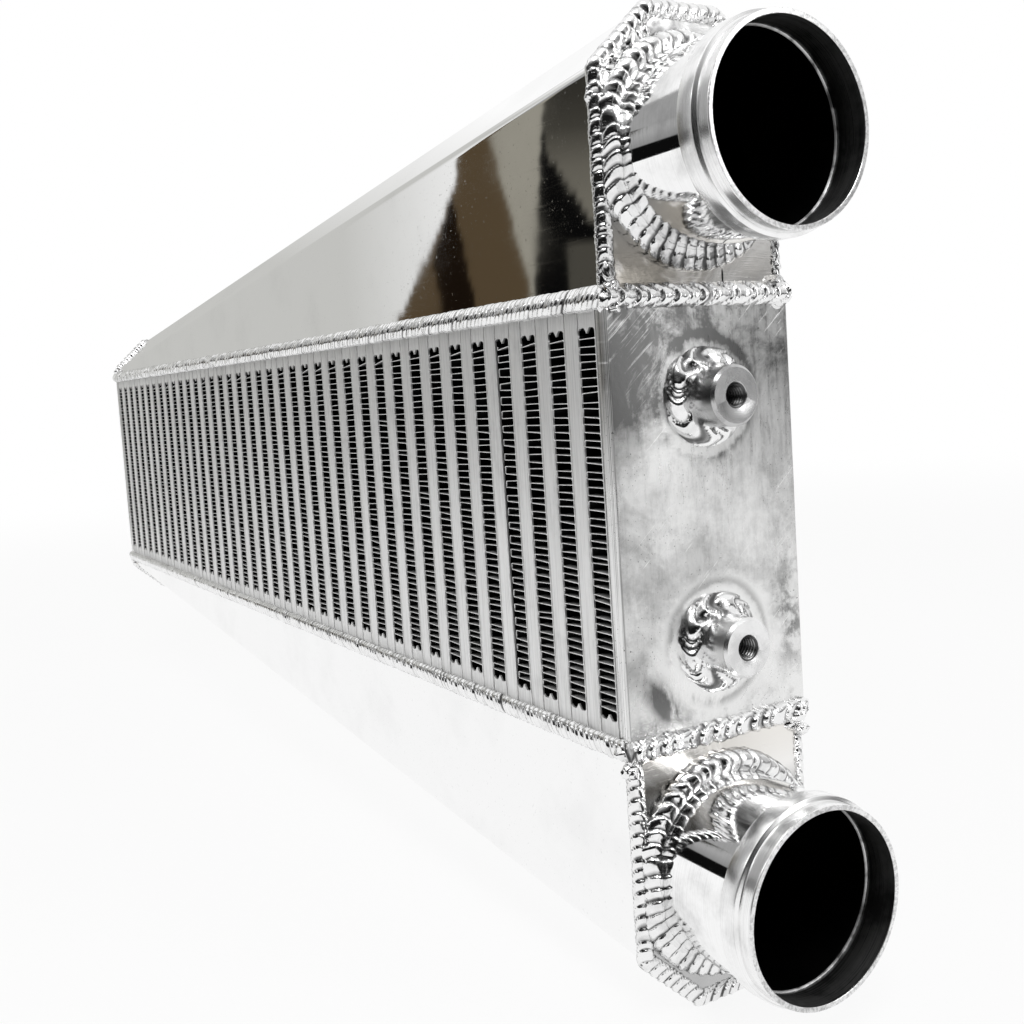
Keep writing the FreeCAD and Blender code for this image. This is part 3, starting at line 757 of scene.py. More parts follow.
def fin_columns(nodes, inputs):
    """An upright strand of points for each column of fins, all still in one place, with their two numbers."""
    start = nodes.vector(X=inputs["First Column"])
    step = nodes.vector(X=inputs["Column Pitch"])
    sockets = {"Count": inputs["Columns"], "Start Location": start, "Offset": step}
    columns = nodes.add("GeometryNodeMeshLine", {"mode": "OFFSET"}, sockets)
    strand = nodes.add("GeometryNodeMeshLine", {"mode": "OFFSET"}, {"Count": inputs["Points"]})
    counted = nodes.keep(strand, "turns", nodes.add("GeometryNodeInputIndex") / FIN_STEPS)
    flat = nodes.add("GeometryNodeSetPosition", {}, {"Geometry": counted, "Position": (0.0, 0.0, 0.0)})
    copies = nodes.add("GeometryNodeInstanceOnPoints", {}, {"Points": columns, "Instance": flat})
    numbered = nodes.keep(copies, "column", nodes.add("GeometryNodeInputIndex"), "INSTANCE")
    strands = nodes.add("GeometryNodeRealizeInstances", {}, {"Geometry": numbered})
    return strands, nodes.kept("turns"), nodes.kept("column")


def fin_places(nodes, inputs, turns, column):
    """Where each point of a strand goes: folded from sheet to sheet as it climbs, with some disorder."""

    def luck(shift):
        return nodes.chance(column * 1.37 + inputs["Seed"] + shift)

    fold, wall = turns.part(), turns.whole()
    bend = nodes.ramp(fold, (0.0, 1.0), (0.2, 0.995), (0.4, 0.945), (0.6, 0.055), (0.8, 0.005), (1.0, 0.0))
    climb = nodes.ramp(fold, (0.0, 0.0), (0.2, 0.38), (0.4, 0.485), (0.6, 0.515), (0.8, 0.62), (1.0, 1.0))
    turned = (wall * math.pi).cosine()
    side = (bend * 2.0 - 1.0) * turned
    loose = 1.0 - (column - inputs["Loose"]).size().smallest(1.0)
    slow = nodes.drift(turns * 0.17 + column * 17.0)
    own = nodes.chance(wall + column * 71.0)
    top = inputs["Points"] / FIN_STEPS
    last = (turns - (top - 1.5)).largest(0.0).smallest(1.0)
    tilt = (luck(9.0) - 0.5) * 0.05 + (own - 0.5) * 0.07 + last * luck(7.0) * 0.55
    calm = ((turns * 0.25).smallest(1.0) * ((top - turns) * 0.25).smallest(1.0)).largest(0.0)
    rise = wall + climb + (slow - 0.5) * 0.8 * calm + side * tilt
    rise = rise - turned * inputs["Wall"] / inputs["Fin Pitch"] * 0.5
    reach = side + loose * 0.13 * (1.0 - side)
    return nodes.vector(
        X=inputs["First Column"] + inputs["Column Pitch"] * column + inputs["Half Gap"] * reach,
        Y=inputs["Depth"] * -0.5,
        Z=inputs["Foot"] + inputs["Fin Pitch"] * rise,
    )


def fin_tree():
    """Serpentine fin strips: a folded strand for each column, drawn out to the core's depth and thickened."""
    names = "Column Pitch", "First Column", "Half Gap", "Foot", "Fin Pitch", "Depth", "Wall", "Loose", "Seed"
    tree, nodes, inputs = geometry_tree("fin_strips", "Columns", "Points", *names)
    strands, turns, column = fin_columns(nodes, inputs)
    place = fin_places(nodes, inputs, turns, column)
    bent = nodes.add("GeometryNodeSetPosition", {}, {"Geometry": strands, "Position": place})
    back = nodes.vector(Y=inputs["Depth"])
    sockets = {"Mesh": bent, "Offset": back, "Offset Scale": 1.0}
    sheet = nodes.add("GeometryNodeExtrudeMesh", {"mode": "EDGES"}, sockets)
    sockets = {"Mesh": sheet, "Offset Scale": inputs["Wall"], "Individual": False}
    thick = nodes.add("GeometryNodeExtrudeMesh", {"mode": "FACES"}, sockets)
    under = nodes.add("GeometryNodeFlipFaces", {}, {"Mesh": sheet})
    both = nodes.add("GeometryNodeJoinGeometry", {}, {"Geometry": [thick, under]})
    whole = nodes.add("GeometryNodeMergeByDistance", {}, {"Geometry": both, "Distance": 1e-6})
    end_tree(nodes, whole, inputs)
    return tree


def rounded(corners, radius, steps=5, closed=False, hold=0.0):
    """A flat outline with its corners rounded by arcs. hold sets a point that far beyond each arc's ends,
    which keeps the shading of the flats between them level."""
    corners = [np.array(c, float) for c in corners]
    count = len(corners)
    outline = []
    for i, corner in enumerate(corners):
        if not closed and i in (0, count - 1):
            outline.append(corner)
            continue
        before = corners[i - 1] - corner
        after = corners[(i + 1) % count] - corner
        before, after = before / np.linalg.norm(before), after / np.linalg.norm(after)
        half = 0.5 * math.acos(float(np.clip(before @ after, -1, 1)))
        reach = radius / math.tan(half)
        middle = corner + (before + after) / np.linalg.norm(before + after) * radius / math.sin(half)
        first, last = corner + before * reach - middle, corner + after * reach - middle
        start = math.atan2(first[1], first[0])
        sweep = math.atan2(last[1], last[0]) - start
        sweep = (sweep + math.pi) % (2 * math.pi) - math.pi
        arc = [start + sweep * k / steps for k in range(steps + 1)]
        arc = [middle + radius * np.array([math.cos(angle), math.sin(angle)]) for angle in arc]
        if hold:
            arc = [corner + before * (reach + hold)] + arc + [corner + after * (reach + hold)]
        outline += arc
    return np.array(outline)


def measured(outline, closed):
    """An outline's points, with the first one again where it is closed, and how far along it each one is."""
    loop = np.vstack([outline, outline[:1]]) if closed else outline
    return loop, np.concatenate([[0], np.cumsum(np.linalg.norm(np.diff(loop, axis=0), axis=1))])


def even_run(outline, count, closed):
    """Places at equal steps along an outline, with their outward directions."""
    loop, run = measured(outline, closed)
    stations = np.linspace(0, run[-1], count + 1)
    if closed:
        stations = stations[:-1]
    spots = np.stack([np.interp(stations, run, loop[:, k]) for k in range(2)], 1)
    if closed:
        ahead, behind = np.roll(spots, -1, 0), np.roll(spots, 1, 0)
    else:
        ahead = np.vstack([spots[1:], spots[-1:]])
        behind = np.vstack([spots[:1], spots[:-1]])
    heading = ahead - behind
    heading /= np.linalg.norm(heading, axis=1)[:, None]
    return spots, np.stack([heading[:, 1], -heading[:, 0]], 1)


def ripple_count(outline, closed, ripple):
    """How many ripples of about this length a bead has, at least 3."""
    return max(round(measured(outline, closed)[1][-1] / ripple), 3)


def circle(radius, count):
    """Points round a flat circle."""
    angles = np.linspace(0, 2 * math.pi, count, endpoint=False)
    return np.stack([np.cos(angles), np.sin(angles)], 1) * radius


def bead_skin(
    outline,
    closed,
    plane,
    section,
    ripple,
    rings=9,
    width=None,
    bow=0.6,
    lean=0.0,
    back=False,
    depth=1.0,
    tall=None,
):
    """A smooth bead swept along a flat outline, with its ripple count kept for the ripple tree.

    plane is (origin, first axis, second axis, lift axis). section lists (outwards, lifted, across, skin)
    from foot to foot and ends in the root, which stays still. rings counts the rings of corners on one
    ripple. width and tall give each ring its share of the section's width and height. The ripples bow and
    lean across the bead, rise towards its end or, laid back, its start, and stand depth times the tree's
    height."""
    origin, first, second, lift = plane
    ripples = ripple_count(outline, closed, ripple)
    spots, outward = even_run(outline, ripples * rings, closed)
    shares = np.linspace(0, ripples, len(spots) + (1 if closed else 0))[: len(spots)]
    base = origin + spots[:, :1] * first + spots[:, 1:] * second
    away = outward[:, :1] * first + outward[:, 1:] * second
    out, up, across, skin = (np.array([row[k] for row in section]) for k in range(4))
    reach = np.ones(len(spots)) if width is None else width
    tall = 0.5 + 0.5 * reach if tall is None else tall
    sideways = (out[None, :] * reach[:, None])[:, :, None] * away[:, None, :]
    upwards = (up[None, :] * tall[:, None])[:, :, None] * lift[None, None, :]
    shape = skin_over(base[:, None, :] + sideways + upwards, closed)
    if back:
        shares = ripples - shares
    shift = bow * across**2 + lean * across + 40
    cells = len(spots), len(section)
    shape.layers = {
        "along": (shares[:, None] + shift[None, :]).ravel(),
        "skin": np.broadcast_to(depth * skin[None, :], cells).ravel(),
    }
    return shape


def arc_section(centre, radii, start, end, root, points=11):
    """A bead's section as part of an ellipse, in degrees, closed through its root."""
    rows = []
    for k in range(points):
        t = k / (points - 1)
        angle = math.radians(start + (end - start) * t)
        edge = min(1.0, 3.0 * min(t, 1 - t) + 0.6)
        out, up = centre[0] + radii[0] * math.cos(angle), centre[1] + radii[1] * math.sin(angle)
        rows.append((out, up, 2 * t - 1, edge))
    rows.append((root[0], root[1], 0.0, 0.0))
    return rows


def fillet_section(wide, tall, bulge, sink, points=11):
    """A bead's section in a corner: wide along the plate, tall up the wall, bulged from the straight line."""
    rows = []
    normal = np.array([tall, wide]) / math.hypot(tall, wide)
    for k in range(points):
        t = k / (points - 1)
        swell = bulge * (4 * t * (1 - t)) ** 0.8
        out = wide * (1 - t) + normal[0] * swell
        up = tall * t + normal[1] * swell
        if k == 0:
            up -= sink
        if k == points - 1:
            out -= sink
        edge = min(1.0, 3.0 * t + 0.6) * min(1.0, 2.0 * (1 - t) + 0.15)
        rows.append((out, up, 2 * t - 1, edge))
    rows.append((-sink, -sink, 0.0, 0.0))
    return rows


def read_out(work):
    """A work mesh as a Shape."""
    work.verts.index_update()
    shape = Shape([v.co[:] for v in work.verts], [[v.index for v in face.verts] for face in work.faces])
    work.free()
    return shape


def lump(rng, centre, size):
    """One solidified pool of weld metal: a ripply drop, out of round."""
    work = bmesh.new()
    bmesh.ops.create_icosphere(work, subdivisions=4, radius=1.0)
    ball = read_out(work)
    swell = np.ones(len(ball.corners))
    for weight, turns in ((0.10, 2.4), (0.07, 4.5), (0.03, 8.0)):
        swell += weight * np.sin(ball.corners @ rng.normal(0, turns, 3) + rng.uniform(0, 6))
    corners = ball.corners * swell[:, None] * np.array(size) + np.array(centre)
    return Shape(corners, ball.faces, {"skin": np.zeros(len(corners)), "along": np.full(len(corners), 0.4)})


def spun(profile, segments, centre):
    """A ring-shaped solid spun round an X axis through centre. profile lists (x, radius)."""
    profile = np.array(profile)
    angles = np.linspace(0, 2 * math.pi, segments, endpoint=False)
    rings = np.empty((segments, len(profile), 3))
    rings[:, :, 0] = profile[None, :, 0] + centre[0]
    rings[:, :, 1] = profile[None, :, 1] * np.cos(angles)[:, None] + centre[1]
    rings[:, :, 2] = profile[None, :, 1] * np.sin(angles)[:, None] + centre[2]
    return skin_over(rings, True)


def edged_box(low, high, edge, segments=2):
    """A box with rounded edges."""
    work = bmesh.new()
    bmesh.ops.create_cube(work, size=1.0)
    middle = (np.array(low) + np.array(high)) / 2
    span = np.array(high) - np.array(low)
    bmesh.ops.scale(work, vec=Vector(span), verts=work.verts)
    bmesh.ops.translate(work, vec=Vector(middle), verts=work.verts)
    bmesh.ops.bevel(work, geom=work.edges[:], offset=edge, segments=segments, profile=0.6, affect="EDGES")
    return read_out(work)


def core_pitch():
    """Distance from one charge bar to the next."""
    core = bpy.context.scene.cooler_core
    return (FRONT_BARS[1][0] - FRONT_BARS[0][0] - core.bar_width) / (core.passages - 1)


def half_column():
    """Half the room between the two sheets of a cooling column."""
    return (core_pitch() - bpy.context.scene.cooler_core.bar_width) / 2 - SHEET


def bar_row(shape, axis, nodes, count):
    """A row of bars on one side of the core, and its mirror image on the other."""
    tree, values = row_tree(), {"Count": count, "Pitch": core_pitch()}
    for node, one in zip(nodes, (shape, mirrored(shape, axis))):
        dress(node, one, "bar_satin", tree=tree, values=values)


def lay_bead(node, shape, tree, *looks):
    """Grows a weld bead's ripples with the height, wander, lumps and seed given."""
    values = dict(zip(("Ripple Height", "Wander", "Lumps", "Seed"), looks))
    dress(node, shape, "weld_metal", 80, tree, values)


class Undoable:
    """What every operator of this file shares."""

    bl_options = {"REGISTER", "UNDO"}


class COOLER_OT_bars(Undoable, bpy.types.Operator):
    """Make the charge bars that close the passages at the front and the rear"""

    bl_idname = "cooler.bars"
    bl_label = "Charge bars"

    def execute(self, context):
        core = context.scene.cooler_core
        start, front, rear = FRONT_BARS[0][0], -HALF_DEPTH, FRONT_BARS[1][1] - FRONT_BARS[0][1] - HALF_DEPTH
        low = start + core.joint_line, front, -HALF_HEIGHT
        high = start + core.bar_width - core.joint_line, rear, HALF_HEIGHT
        bar = edged_box(low, high, core.bar_edge)
        bar_row(bar, 1, ("charge_bars_front", "charge_bars_rear"), core.passages)
        return {"FINISHED"}


class COOLER_OT_closing_bars(Undoable, bpy.types.Operator):
    """Make the toothed bars that close the cooling columns at the top and the bottom"""

    bl_idname = "cooler.closing_bars"
    bl_label = "Closing bars"

    def execute(self, context):
        core = context.scene.cooler_core
        first = CLOSING_BARS[0][0] + half_column()
        half = half_column() - core.joint_line
        root = CLOSING_BARS[0][2] + core.tooth_height
        waist = core.tooth_width / 2
        # One half of the bar's section: down its side, round the foot and out to the tooth's tip.
        outline = [
            (-half, HALF_HEIGHT),
            (-half, root - 0.0007),
            (-half + 0.0003, root - 0.0005),
            (-half + 0.0008, root),
            (-waist - 0.0005, root + 0.0002),
            (-waist, root),
            (-waist * 0.55, root - core.tooth_height * 0.42),
            (-waist * 0.10, root - core.tooth_height),
        ]
        outline += [(-x, z) for x, z in outline[::-1]]
        front, rear = -HALF_DEPTH + BAR_SETBACK, HALF_DEPTH - BAR_SETBACK
        rings = np.array([[(first + x, y, z) for x, z in outline] for y in (front, rear)])
        bar = skin_over(rings, False)
        bar_row(bar, 2, ("cooling_bars_top", "cooling_bars_bottom"), core.passages + 1)
        return {"FINISHED"}


class COOLER_OT_fins(Undoable, bpy.types.Operator):
    """Fold the cooling fins and paint the sheets and charge fins behind them"""

    bl_idname = "cooler.fins"
    bl_label = "Fins"

    def execute(self, context):
        core = context.scene.cooler_core
        walls = int((FIN_BOX[1][2] - FIN_BOX[0][2] - FIN_MARGIN) / core.fin_pitch)
        values = {
            "Columns": core.passages + 1,
            "Points": walls * FIN_STEPS + 1,
            "Column Pitch": core_pitch(),
            "First Column": FRONT_BARS[0][0] - SHEET - half_column() - core.fin_wall / 2,
            "Half Gap": half_column() - core.fin_wall / 2,
            "Foot": FIN_BOX[0][2] + 0.0005,
            "Fin Pitch": core.fin_pitch,
            "Depth": FIN_BOX[1][1] - FIN_BOX[0][1],
            "Wall": core.fin_wall,
            "Loose": core.passages - 3.0,
            "Seed": 4.0,
        }
        start, name = Shape([(0, 0, 0)], []), "cooling_fin_strips"
        dress("cooling_fins", start, "fin_strip", tree=fin_tree(), values=values, name=name)
        paint("charge_fins", "dull_sheet")
        paint("separator_sheets", "dull_sheet")
        return {"FINISHED"}


class COOLER_OT_side_plates(Undoable, bpy.types.Operator):
    """Make the side plates with their edges broken"""

    bl_idname = "cooler.side_plates"
    bl_label = "Side plates"

    def execute(self, context):
        for node, box in (("near_side_plate", NEAR_PLATE), ("far_side_plate", FAR_PLATE)):
            plate = edged_box(*box, context.scene.cooler_core.plate_edge)
            dress(node, plate, "satin_plate")
        return {"FINISHED"}


class COOLER_OT_tanks(Undoable, bpy.types.Operator):
    """Fold the two tank shells and paint their caps"""

    bl_idname = "cooler.tanks"
    bl_label = "Tanks"

    def section(self, tank, top):
        """Outer and inner outline of the tank's section, joined at the feet."""
        half, flat, shoulder = TANK_HALF_DEPTH, TANK_HALF_DEPTH - tank.bevel_width, top - tank.bevel_height
        tilt = math.atan2(tank.bevel_width, tank.bevel_height)
        low = tank.wall * math.tan(tilt / 2)
        high = tank.wall * math.tan((math.pi / 2 - tilt) / 2)
        outer = [(half, HALF_HEIGHT), (half, shoulder), (flat, top)]
        inner = [
            (half - tank.wall, HALF_HEIGHT),
            (half - tank.wall, shoulder - low),
            (flat - high, top - tank.wall),
        ]
        outside, inside = (
            rounded([(-y, z) for y, z in side] + side[::-1], bend, hold=HOLD)
            for side, bend in ((outer, tank.bend), (inner, tank.bend - tank.wall))
        )
        return np.vstack([outside, inside[::-1]])

    def execute(self, context):
        top_near, top_far = NEAR_CAP[1][2], FAR_CAP[1][2]
        rings = []
        for share in np.linspace(0, 1, TANK_RINGS):
            outline = self.section(context.scene.cooler_tank, top_far + (top_near - top_far) * share)
            x = TANK[0][0] + (TANK[1][0] - TANK[0][0]) * share
            rings.append(np.column_stack([np.full(len(outline), x), outline]))
        shell = skin_over(np.array(rings), False)
        for node, shape in (("top_tank", shell), ("bottom_tank", mirrored(shell, 2))):
            dress(node, shape, "polished_sheet")
            paint(node + "_near_cap", "cap_plate")
            paint(node + "_far_cap", "cap_plate")
        return {"FINISHED"}


class COOLER_OT_pipes(Undoable, bpy.types.Operator):
    """Turn the two pipes with their rolled beads"""

    bl_idname = "cooler.pipes"
    bl_label = "Pipes"

    def profile(self, pipe):
        """The pipe's wall as (x, radius), out to the mouth and back along the bore."""
        tail, mouth = PIPES[0][0], PIPE_MOUTH
        front = mouth - pipe.bead_setback
        back = front - pipe.bead_length
        outer, bore, rise = pipe.radius, pipe.radius - pipe.wall, pipe.bead_rise
        swell = [(0.0, 0.0), (0.0002, 0.05), (0.0004, 0.30), (0.0006, 0.74), (0.0008, 0.95), (0.0012, 1.0)]
        hill = [(back + s, outer + rise * share) for s, share in swell]
        hill += [(front - s, outer + rise * share) for s, share in swell[::-1]]
        rim = [
            (front + HOLD, outer),
            (mouth - 0.0008, outer),
            (mouth - 0.0002, outer),
            (mouth - 0.00006, outer - 0.00006),
            (mouth, outer - 0.0002),
            (mouth, bore + 0.00015),
            (mouth - 0.00015, bore),
            (mouth - 0.0008, bore),
        ]
        groove = [(front, 0.0), (front - 0.0005, 0.0), (back + 0.0022, 0.30), (back + 0.0008, 0.40)]
        groove += [(back + 0.0003, 0.0), (back - 0.0004, 0.0), (tail, 0.0)]
        inside = [(s, bore + rise * share) for s, share in groove]
        return [(tail, outer), (back - HOLD, outer), *hill, *rim, *inside]

    def execute(self, context):
        profile = self.profile(context.scene.cooler_pipe)
        shapes = [spun(profile, PIPE_SEGMENTS, (0, 0, height)) for height in (PIPE_HEIGHT, -PIPE_HEIGHT)]
        dress("pipes", joined(shapes), "pipe_polish", 40)
        return {"FINISHED"}


class COOLER_OT_bosses(Undoable, bpy.types.Operator):
    """Turn the four bosses and cut their threads"""

    bl_idname = "cooler.bosses"
    bl_label = "Bosses"

    def threaded_boss(self, boss):
        """A boss on its own axis, its seat at x 0."""
        face, bottom = boss.reach, boss.reach - boss.depth
        radius, edge, pitch = boss.radius, boss.edge, boss.thread_pitch
        mouth = boss.bore + boss.thread_height + THREAD_LIP
        start = face - (mouth - boss.bore - boss.thread_height)
        outer = [
            (0, radius),
            (face - edge - 0.0003, radius),
            (face - edge, radius),
            (face - edge * 0.9, radius - edge * 0.02),
            (face - edge * 0.08, radius - edge * 0.9),
            (face, radius - edge),
            (face, mouth),
        ]
        angles = np.linspace(0, 2 * math.pi, BOSS_SEGMENTS, endpoint=False)
        for x in np.arange(bottom, start, pitch / 6)[::-1]:
            groove = 1 - np.abs(2 * ((x / pitch - angles / (2 * math.pi)) % 1.0) - 1)
            outer.append((x, boss.bore + boss.thread_height * groove * min(1.0, (x - bottom) / pitch)))
        flat = np.ones(len(angles))
        rows = [np.column_stack([x * flat, r * np.cos(angles), r * np.sin(angles)]) for x, r in outer]
        return skin_over(np.array(rows), False)

    def execute(self, context):
        one = self.threaded_boss(context.scene.cooler_boss)
        shapes = []
        for height in BOSS_HEIGHTS:
            for side, seat in ((1, NEAR_END), (-1, FAR_END)):
                shapes.append(Shape(one.corners * [side, 1, 1] + [seat, 0, height], one.faces))
        dress("bosses", joined(shapes), "turned_boss", 30)
        return {"FINISHED"}


class COOLER_OT_core_welds(Undoable, bpy.types.Operator):
    """Lay the long beads between the tanks and the core"""

    bl_idname = "cooler.core_welds"
    bl_label = "Core welds"

    def section(self, half):
        """The bead from the core's edge to the tank's wall, which stands back from it."""
        rise = CORE_WELD[1][1] - HALF_DEPTH
        rows = []
        for k in range(12):
            t = 2 * k / 11 - 1
            sink = 0.0006 if abs(t) == 1 else 0
            out = -TANK_INSET / 2 * (1 + t) + (rise + TANK_INSET / 2) * (1 - t * t) ** 0.7 - sink
            rows.append((out, half * t, t, min(1.0, 2.0 * (1 - abs(t)) + 0.55)))
        return rows + [(-TANK_INSET - 0.001, 0.0, 0.0, 0.0)]

    def execute(self, context):
        weld = context.scene.cooler_weld
        section = self.section(weld.core_width / 2)
        near, far = ([(end, y) for y in (-HALF_DEPTH, HALF_DEPTH)] for end in (NEAR_END, FAR_END))
        corners = near + far[::-1]
        plane = (UP * HALF_HEIGHT, ALONG, ACROSS, UP)
        tree = ripple_tree()
        for level, seed, end_bow, side_lean in (("top", 3.0, 0.95, -0.5), ("bottom", 8.0, -0.8, -0.2)):
            rng = np.random.default_rng(int(seed))
            end_look = {"ripple": weld.end_ripple, "rings": 14, "bow": end_bow, "depth": 2.1}
            side_look = {"ripple": weld.core_ripple, "rings": 10, "bow": 0.7, "depth": 1.35}
            side_look["lean"] = side_lean
            shapes = []
            for i, (x, y) in enumerate(corners):
                run = np.array([(x, y), corners[(i + 1) % 4]])
                shapes.append(bead_skin(run, False, plane, section, **(side_look if i % 2 else end_look)))
                outward = np.array([math.copysign(1, x), math.copysign(1, y)])
                pools = NEAR_CORNER_POOLS if y < 0 < x and level == "top" else CORNER_POOLS
                for _ in range(pools):
                    spot = np.array([x, y]) + outward * rng.uniform(-0.0052, 0.0006, 2)
                    height = HALF_HEIGHT + rng.uniform(-0.0036, 0.0076)
                    shapes.append(lump(rng, (*spot, height), rng.uniform(0.0016, 0.0034, 3)))
            shape = joined(shapes) if level == "top" else mirrored(joined(shapes), 2)
            lay_bead(level + "_tank_core_weld", shape, tree, 0.00062, 1.2, 0.3, seed)
        return {"FINISHED"}


class COOLER_OT_cap_welds(Undoable, bpy.types.Operator):
    """Lay the rope-like beads round the tanks' end caps"""

    bl_idname = "cooler.cap_welds"
    bl_label = "Cap welds"

    def execute(self, context):
        weld, tank = context.scene.cooler_weld, context.scene.cooler_tank
        section = arc_section((-0.0009, -0.0006), (0.0029, 0.0023), 205, -80, (-0.0032, -0.0032), 15)
        tree = ripple_tree()
        half, flat = TANK_HALF_DEPTH, TANK_HALF_DEPTH - tank.bevel_width
        foot = HALF_HEIGHT + weld.core_width / 2 - 0.001
        ends = ("near", CAP_FACE, ALONG, NEAR_CAP[1][2]), ("far", FAR_CAP_FACE, -ALONG, FAR_CAP[1][2])
        for end, face, lift, top in ends:
            shoulder = top - tank.bevel_height
            side = [(half, foot), (half, shoulder), (flat, top)]
            outline = rounded(side + [(-y, z) for y, z in side[::-1]], 0.003, 5)
            stations = ripple_count(outline, False, weld.cap_ripple) * 12
            across = even_run(outline, stations, False)[0][:, 0]
            slim = 1 - 0.45 * np.clip((across - half + 0.004) / 0.004, 0, 1)
            plane = (ALONG * face, ACROSS, UP, lift)
            for level, seed in (("top", 21.0), ("bottom", 34.0)):
                low = level == "bottom"
                shape = bead_skin(outline, False, plane, section, weld.cap_ripple, 12, slim, -2.4, 0.0, low)
                shape = mirrored(shape, 2) if low else shape
                lay_bead(f"{level}_{end}_cap_weld", shape, tree, 0.00070, 0.7, 0.2, seed)
        return {"FINISHED"}


class COOLER_OT_pipe_welds(Undoable, bpy.types.Operator):
    """Lay the coarse beads round the feet of the pipes"""

    bl_idname = "cooler.pipe_welds"
    bl_label = "Pipe welds"

    def margin(self, angles, radius, tank):
        """Room between the pipe and the cap's edge bead in each direction."""
        top = NEAR_CAP[1][2] - PIPE_HEIGHT
        tilt = math.atan2(tank.bevel_width, tank.bevel_height)
        reach = TANK_HALF_DEPTH * math.cos(tilt) + (top - tank.bevel_height) * math.sin(tilt)
        edges = [(0, 1, top)]
        for side in (1, -1):
            edges += [(side, 0, TANK_HALF_DEPTH), (side * math.cos(tilt), math.sin(tilt), reach)]
        room = np.full(len(angles), 1.0)
        for across, up, distance in edges:
            facing = across * np.cos(angles) + up * np.sin(angles)
            room = np.minimum(room, np.where(facing > 0.05, distance / np.maximum(facing, 0.05), 1.0))
        return room - radius - 0.0004

    def execute(self, context):
        scene = context.scene
        weld, radius = scene.cooler_weld, scene.cooler_pipe.radius
        outline = circle(radius, 180)
        section = fillet_section(weld.pipe_width, weld.pipe_height, 0.0024, 0.0008, 14)
        ripples = ripple_count(outline, True, weld.pipe_ripple / 1.15)
        stations = np.linspace(0, 2 * math.pi, ripples * 12, endpoint=False)
        width = np.clip(self.margin(stations, radius, scene.cooler_tank) / weld.pipe_width, 0.3, 1.0)
        step = measured(outline, True)[1][-1] / ripples
        shapes = []
        for side, reach in ((1, width), (-1, np.roll(width[::-1], 1))):
            plane = (ALONG * CAP_FACE + UP * side * PIPE_HEIGHT, ACROSS, UP, ALONG)
            tall = 1 + 1.7 * (1 - reach)
            shapes.append(bead_skin(outline, True, plane, section, step, 12, reach, -0.45, 0.25, tall=tall))
        rng = np.random.default_rng(12)
        for _ in range(MELTED_POOLS):
            turn, reach = math.radians(rng.uniform(112, 158)), radius + rng.uniform(0.0020, 0.0085)
            x, y, z = CAP_FACE + rng.uniform(-0.0008, 0.0006), reach * math.cos(turn), reach * math.sin(turn)
            size = rng.uniform(0.0012, 0.0022), *rng.uniform(0.0016, 0.0036, 2)
            shapes.append(lump(rng, (x, y, PIPE_HEIGHT + z), size))
        lay_bead("pipe_welds", joined(shapes), ripple_tree(), 0.00095, 0.6, 0.25, 13.0)
        return {"FINISHED"}


class COOLER_OT_boss_welds(Undoable, bpy.types.Operator):
    """Lay the beads round the feet of the bosses"""

    bl_idname = "cooler.boss_welds"
    bl_label = "Boss welds"

    def execute(self, context):
        weld = context.scene.cooler_weld
        outline = circle(context.scene.cooler_boss.radius, 90)
        section = fillet_section(weld.boss_width, weld.boss_height, 0.0014, 0.0007, 14)
        shapes = []
        for height in BOSS_HEIGHTS:
            for face, lift in ((NEAR_END, ALONG), (FAR_END, -ALONG)):
                plane = (ALONG * face + UP * height, ACROSS, UP, lift)
                shapes.append(bead_skin(outline, True, plane, section, weld.boss_ripple, 14, bow=0.7))
        lay_bead("boss_welds", joined(shapes), ripple_tree(), 0.00130, 1.4, 1.0, 40.0)
        return {"FINISHED"}


def stage_light(name, energy, size, place, aim):
    """A soft lamp, sized (width, height) in metres, that faces a point."""
    data = bpy.data.lights.new(name, "AREA")
    data.shape = "RECTANGLE"
    data.size, data.size_y = size
    data.energy = energy
    made = bpy.data.objects.new(name, data)
    made.location = place
    made.rotation_euler = (Vector(aim) - Vector(place)).to_track_quat("-Z", "Y").to_euler()
    bpy.context.scene.collection.objects.link(made)


# The camera: its place in metres, where it looks, the direction to its right, its shift, and its lens in mm.
CAMERA_PLACE = (0.6217, -0.2519, 0.0483)
CAMERA_AHEAD = (-0.85634291, 0.50979172, -0.08239677)
CAMERA_RIGHT = (0.51506331, 0.85467673, -0.0650959)
CAMERA_SHIFT = (-0.0015, -0.0326)
LENS, SENSOR = 40.98, 36.0

# Where the left wall's colours change: heights in metres, and degrees round at those heights.
WALL_EDGES = {
    "panel": ((0.04, 0.12, 0.175, 0.214, 0.256, 0.35), (-159, -156.5, -154.5, -153.1, -152.0, -151.0)),
    "wedge": ((0.13, 0.177, 0.24), (-153.6, -153.9, -152.3)),
    "wedge_end": ((0.13, 0.24), (-151.2, -152.3)),
    "strip": ((0.143, 0.294), (-147.4, -149.5)),
    "gap": ((0.137, 0.324), (-147.1, -145.8)),
    "patch": ((0.19, 0.204, 0.230, 0.239, 0.262, 0.275), (-141.5, -143.1, -143.9, -144.4, -145.2, -145.8)),
}
BAND_START = -141.5


def grey(height, heights, levels):
    """A grey that changes with height."""
    return (float(np.interp(height, heights, levels)),) * 3


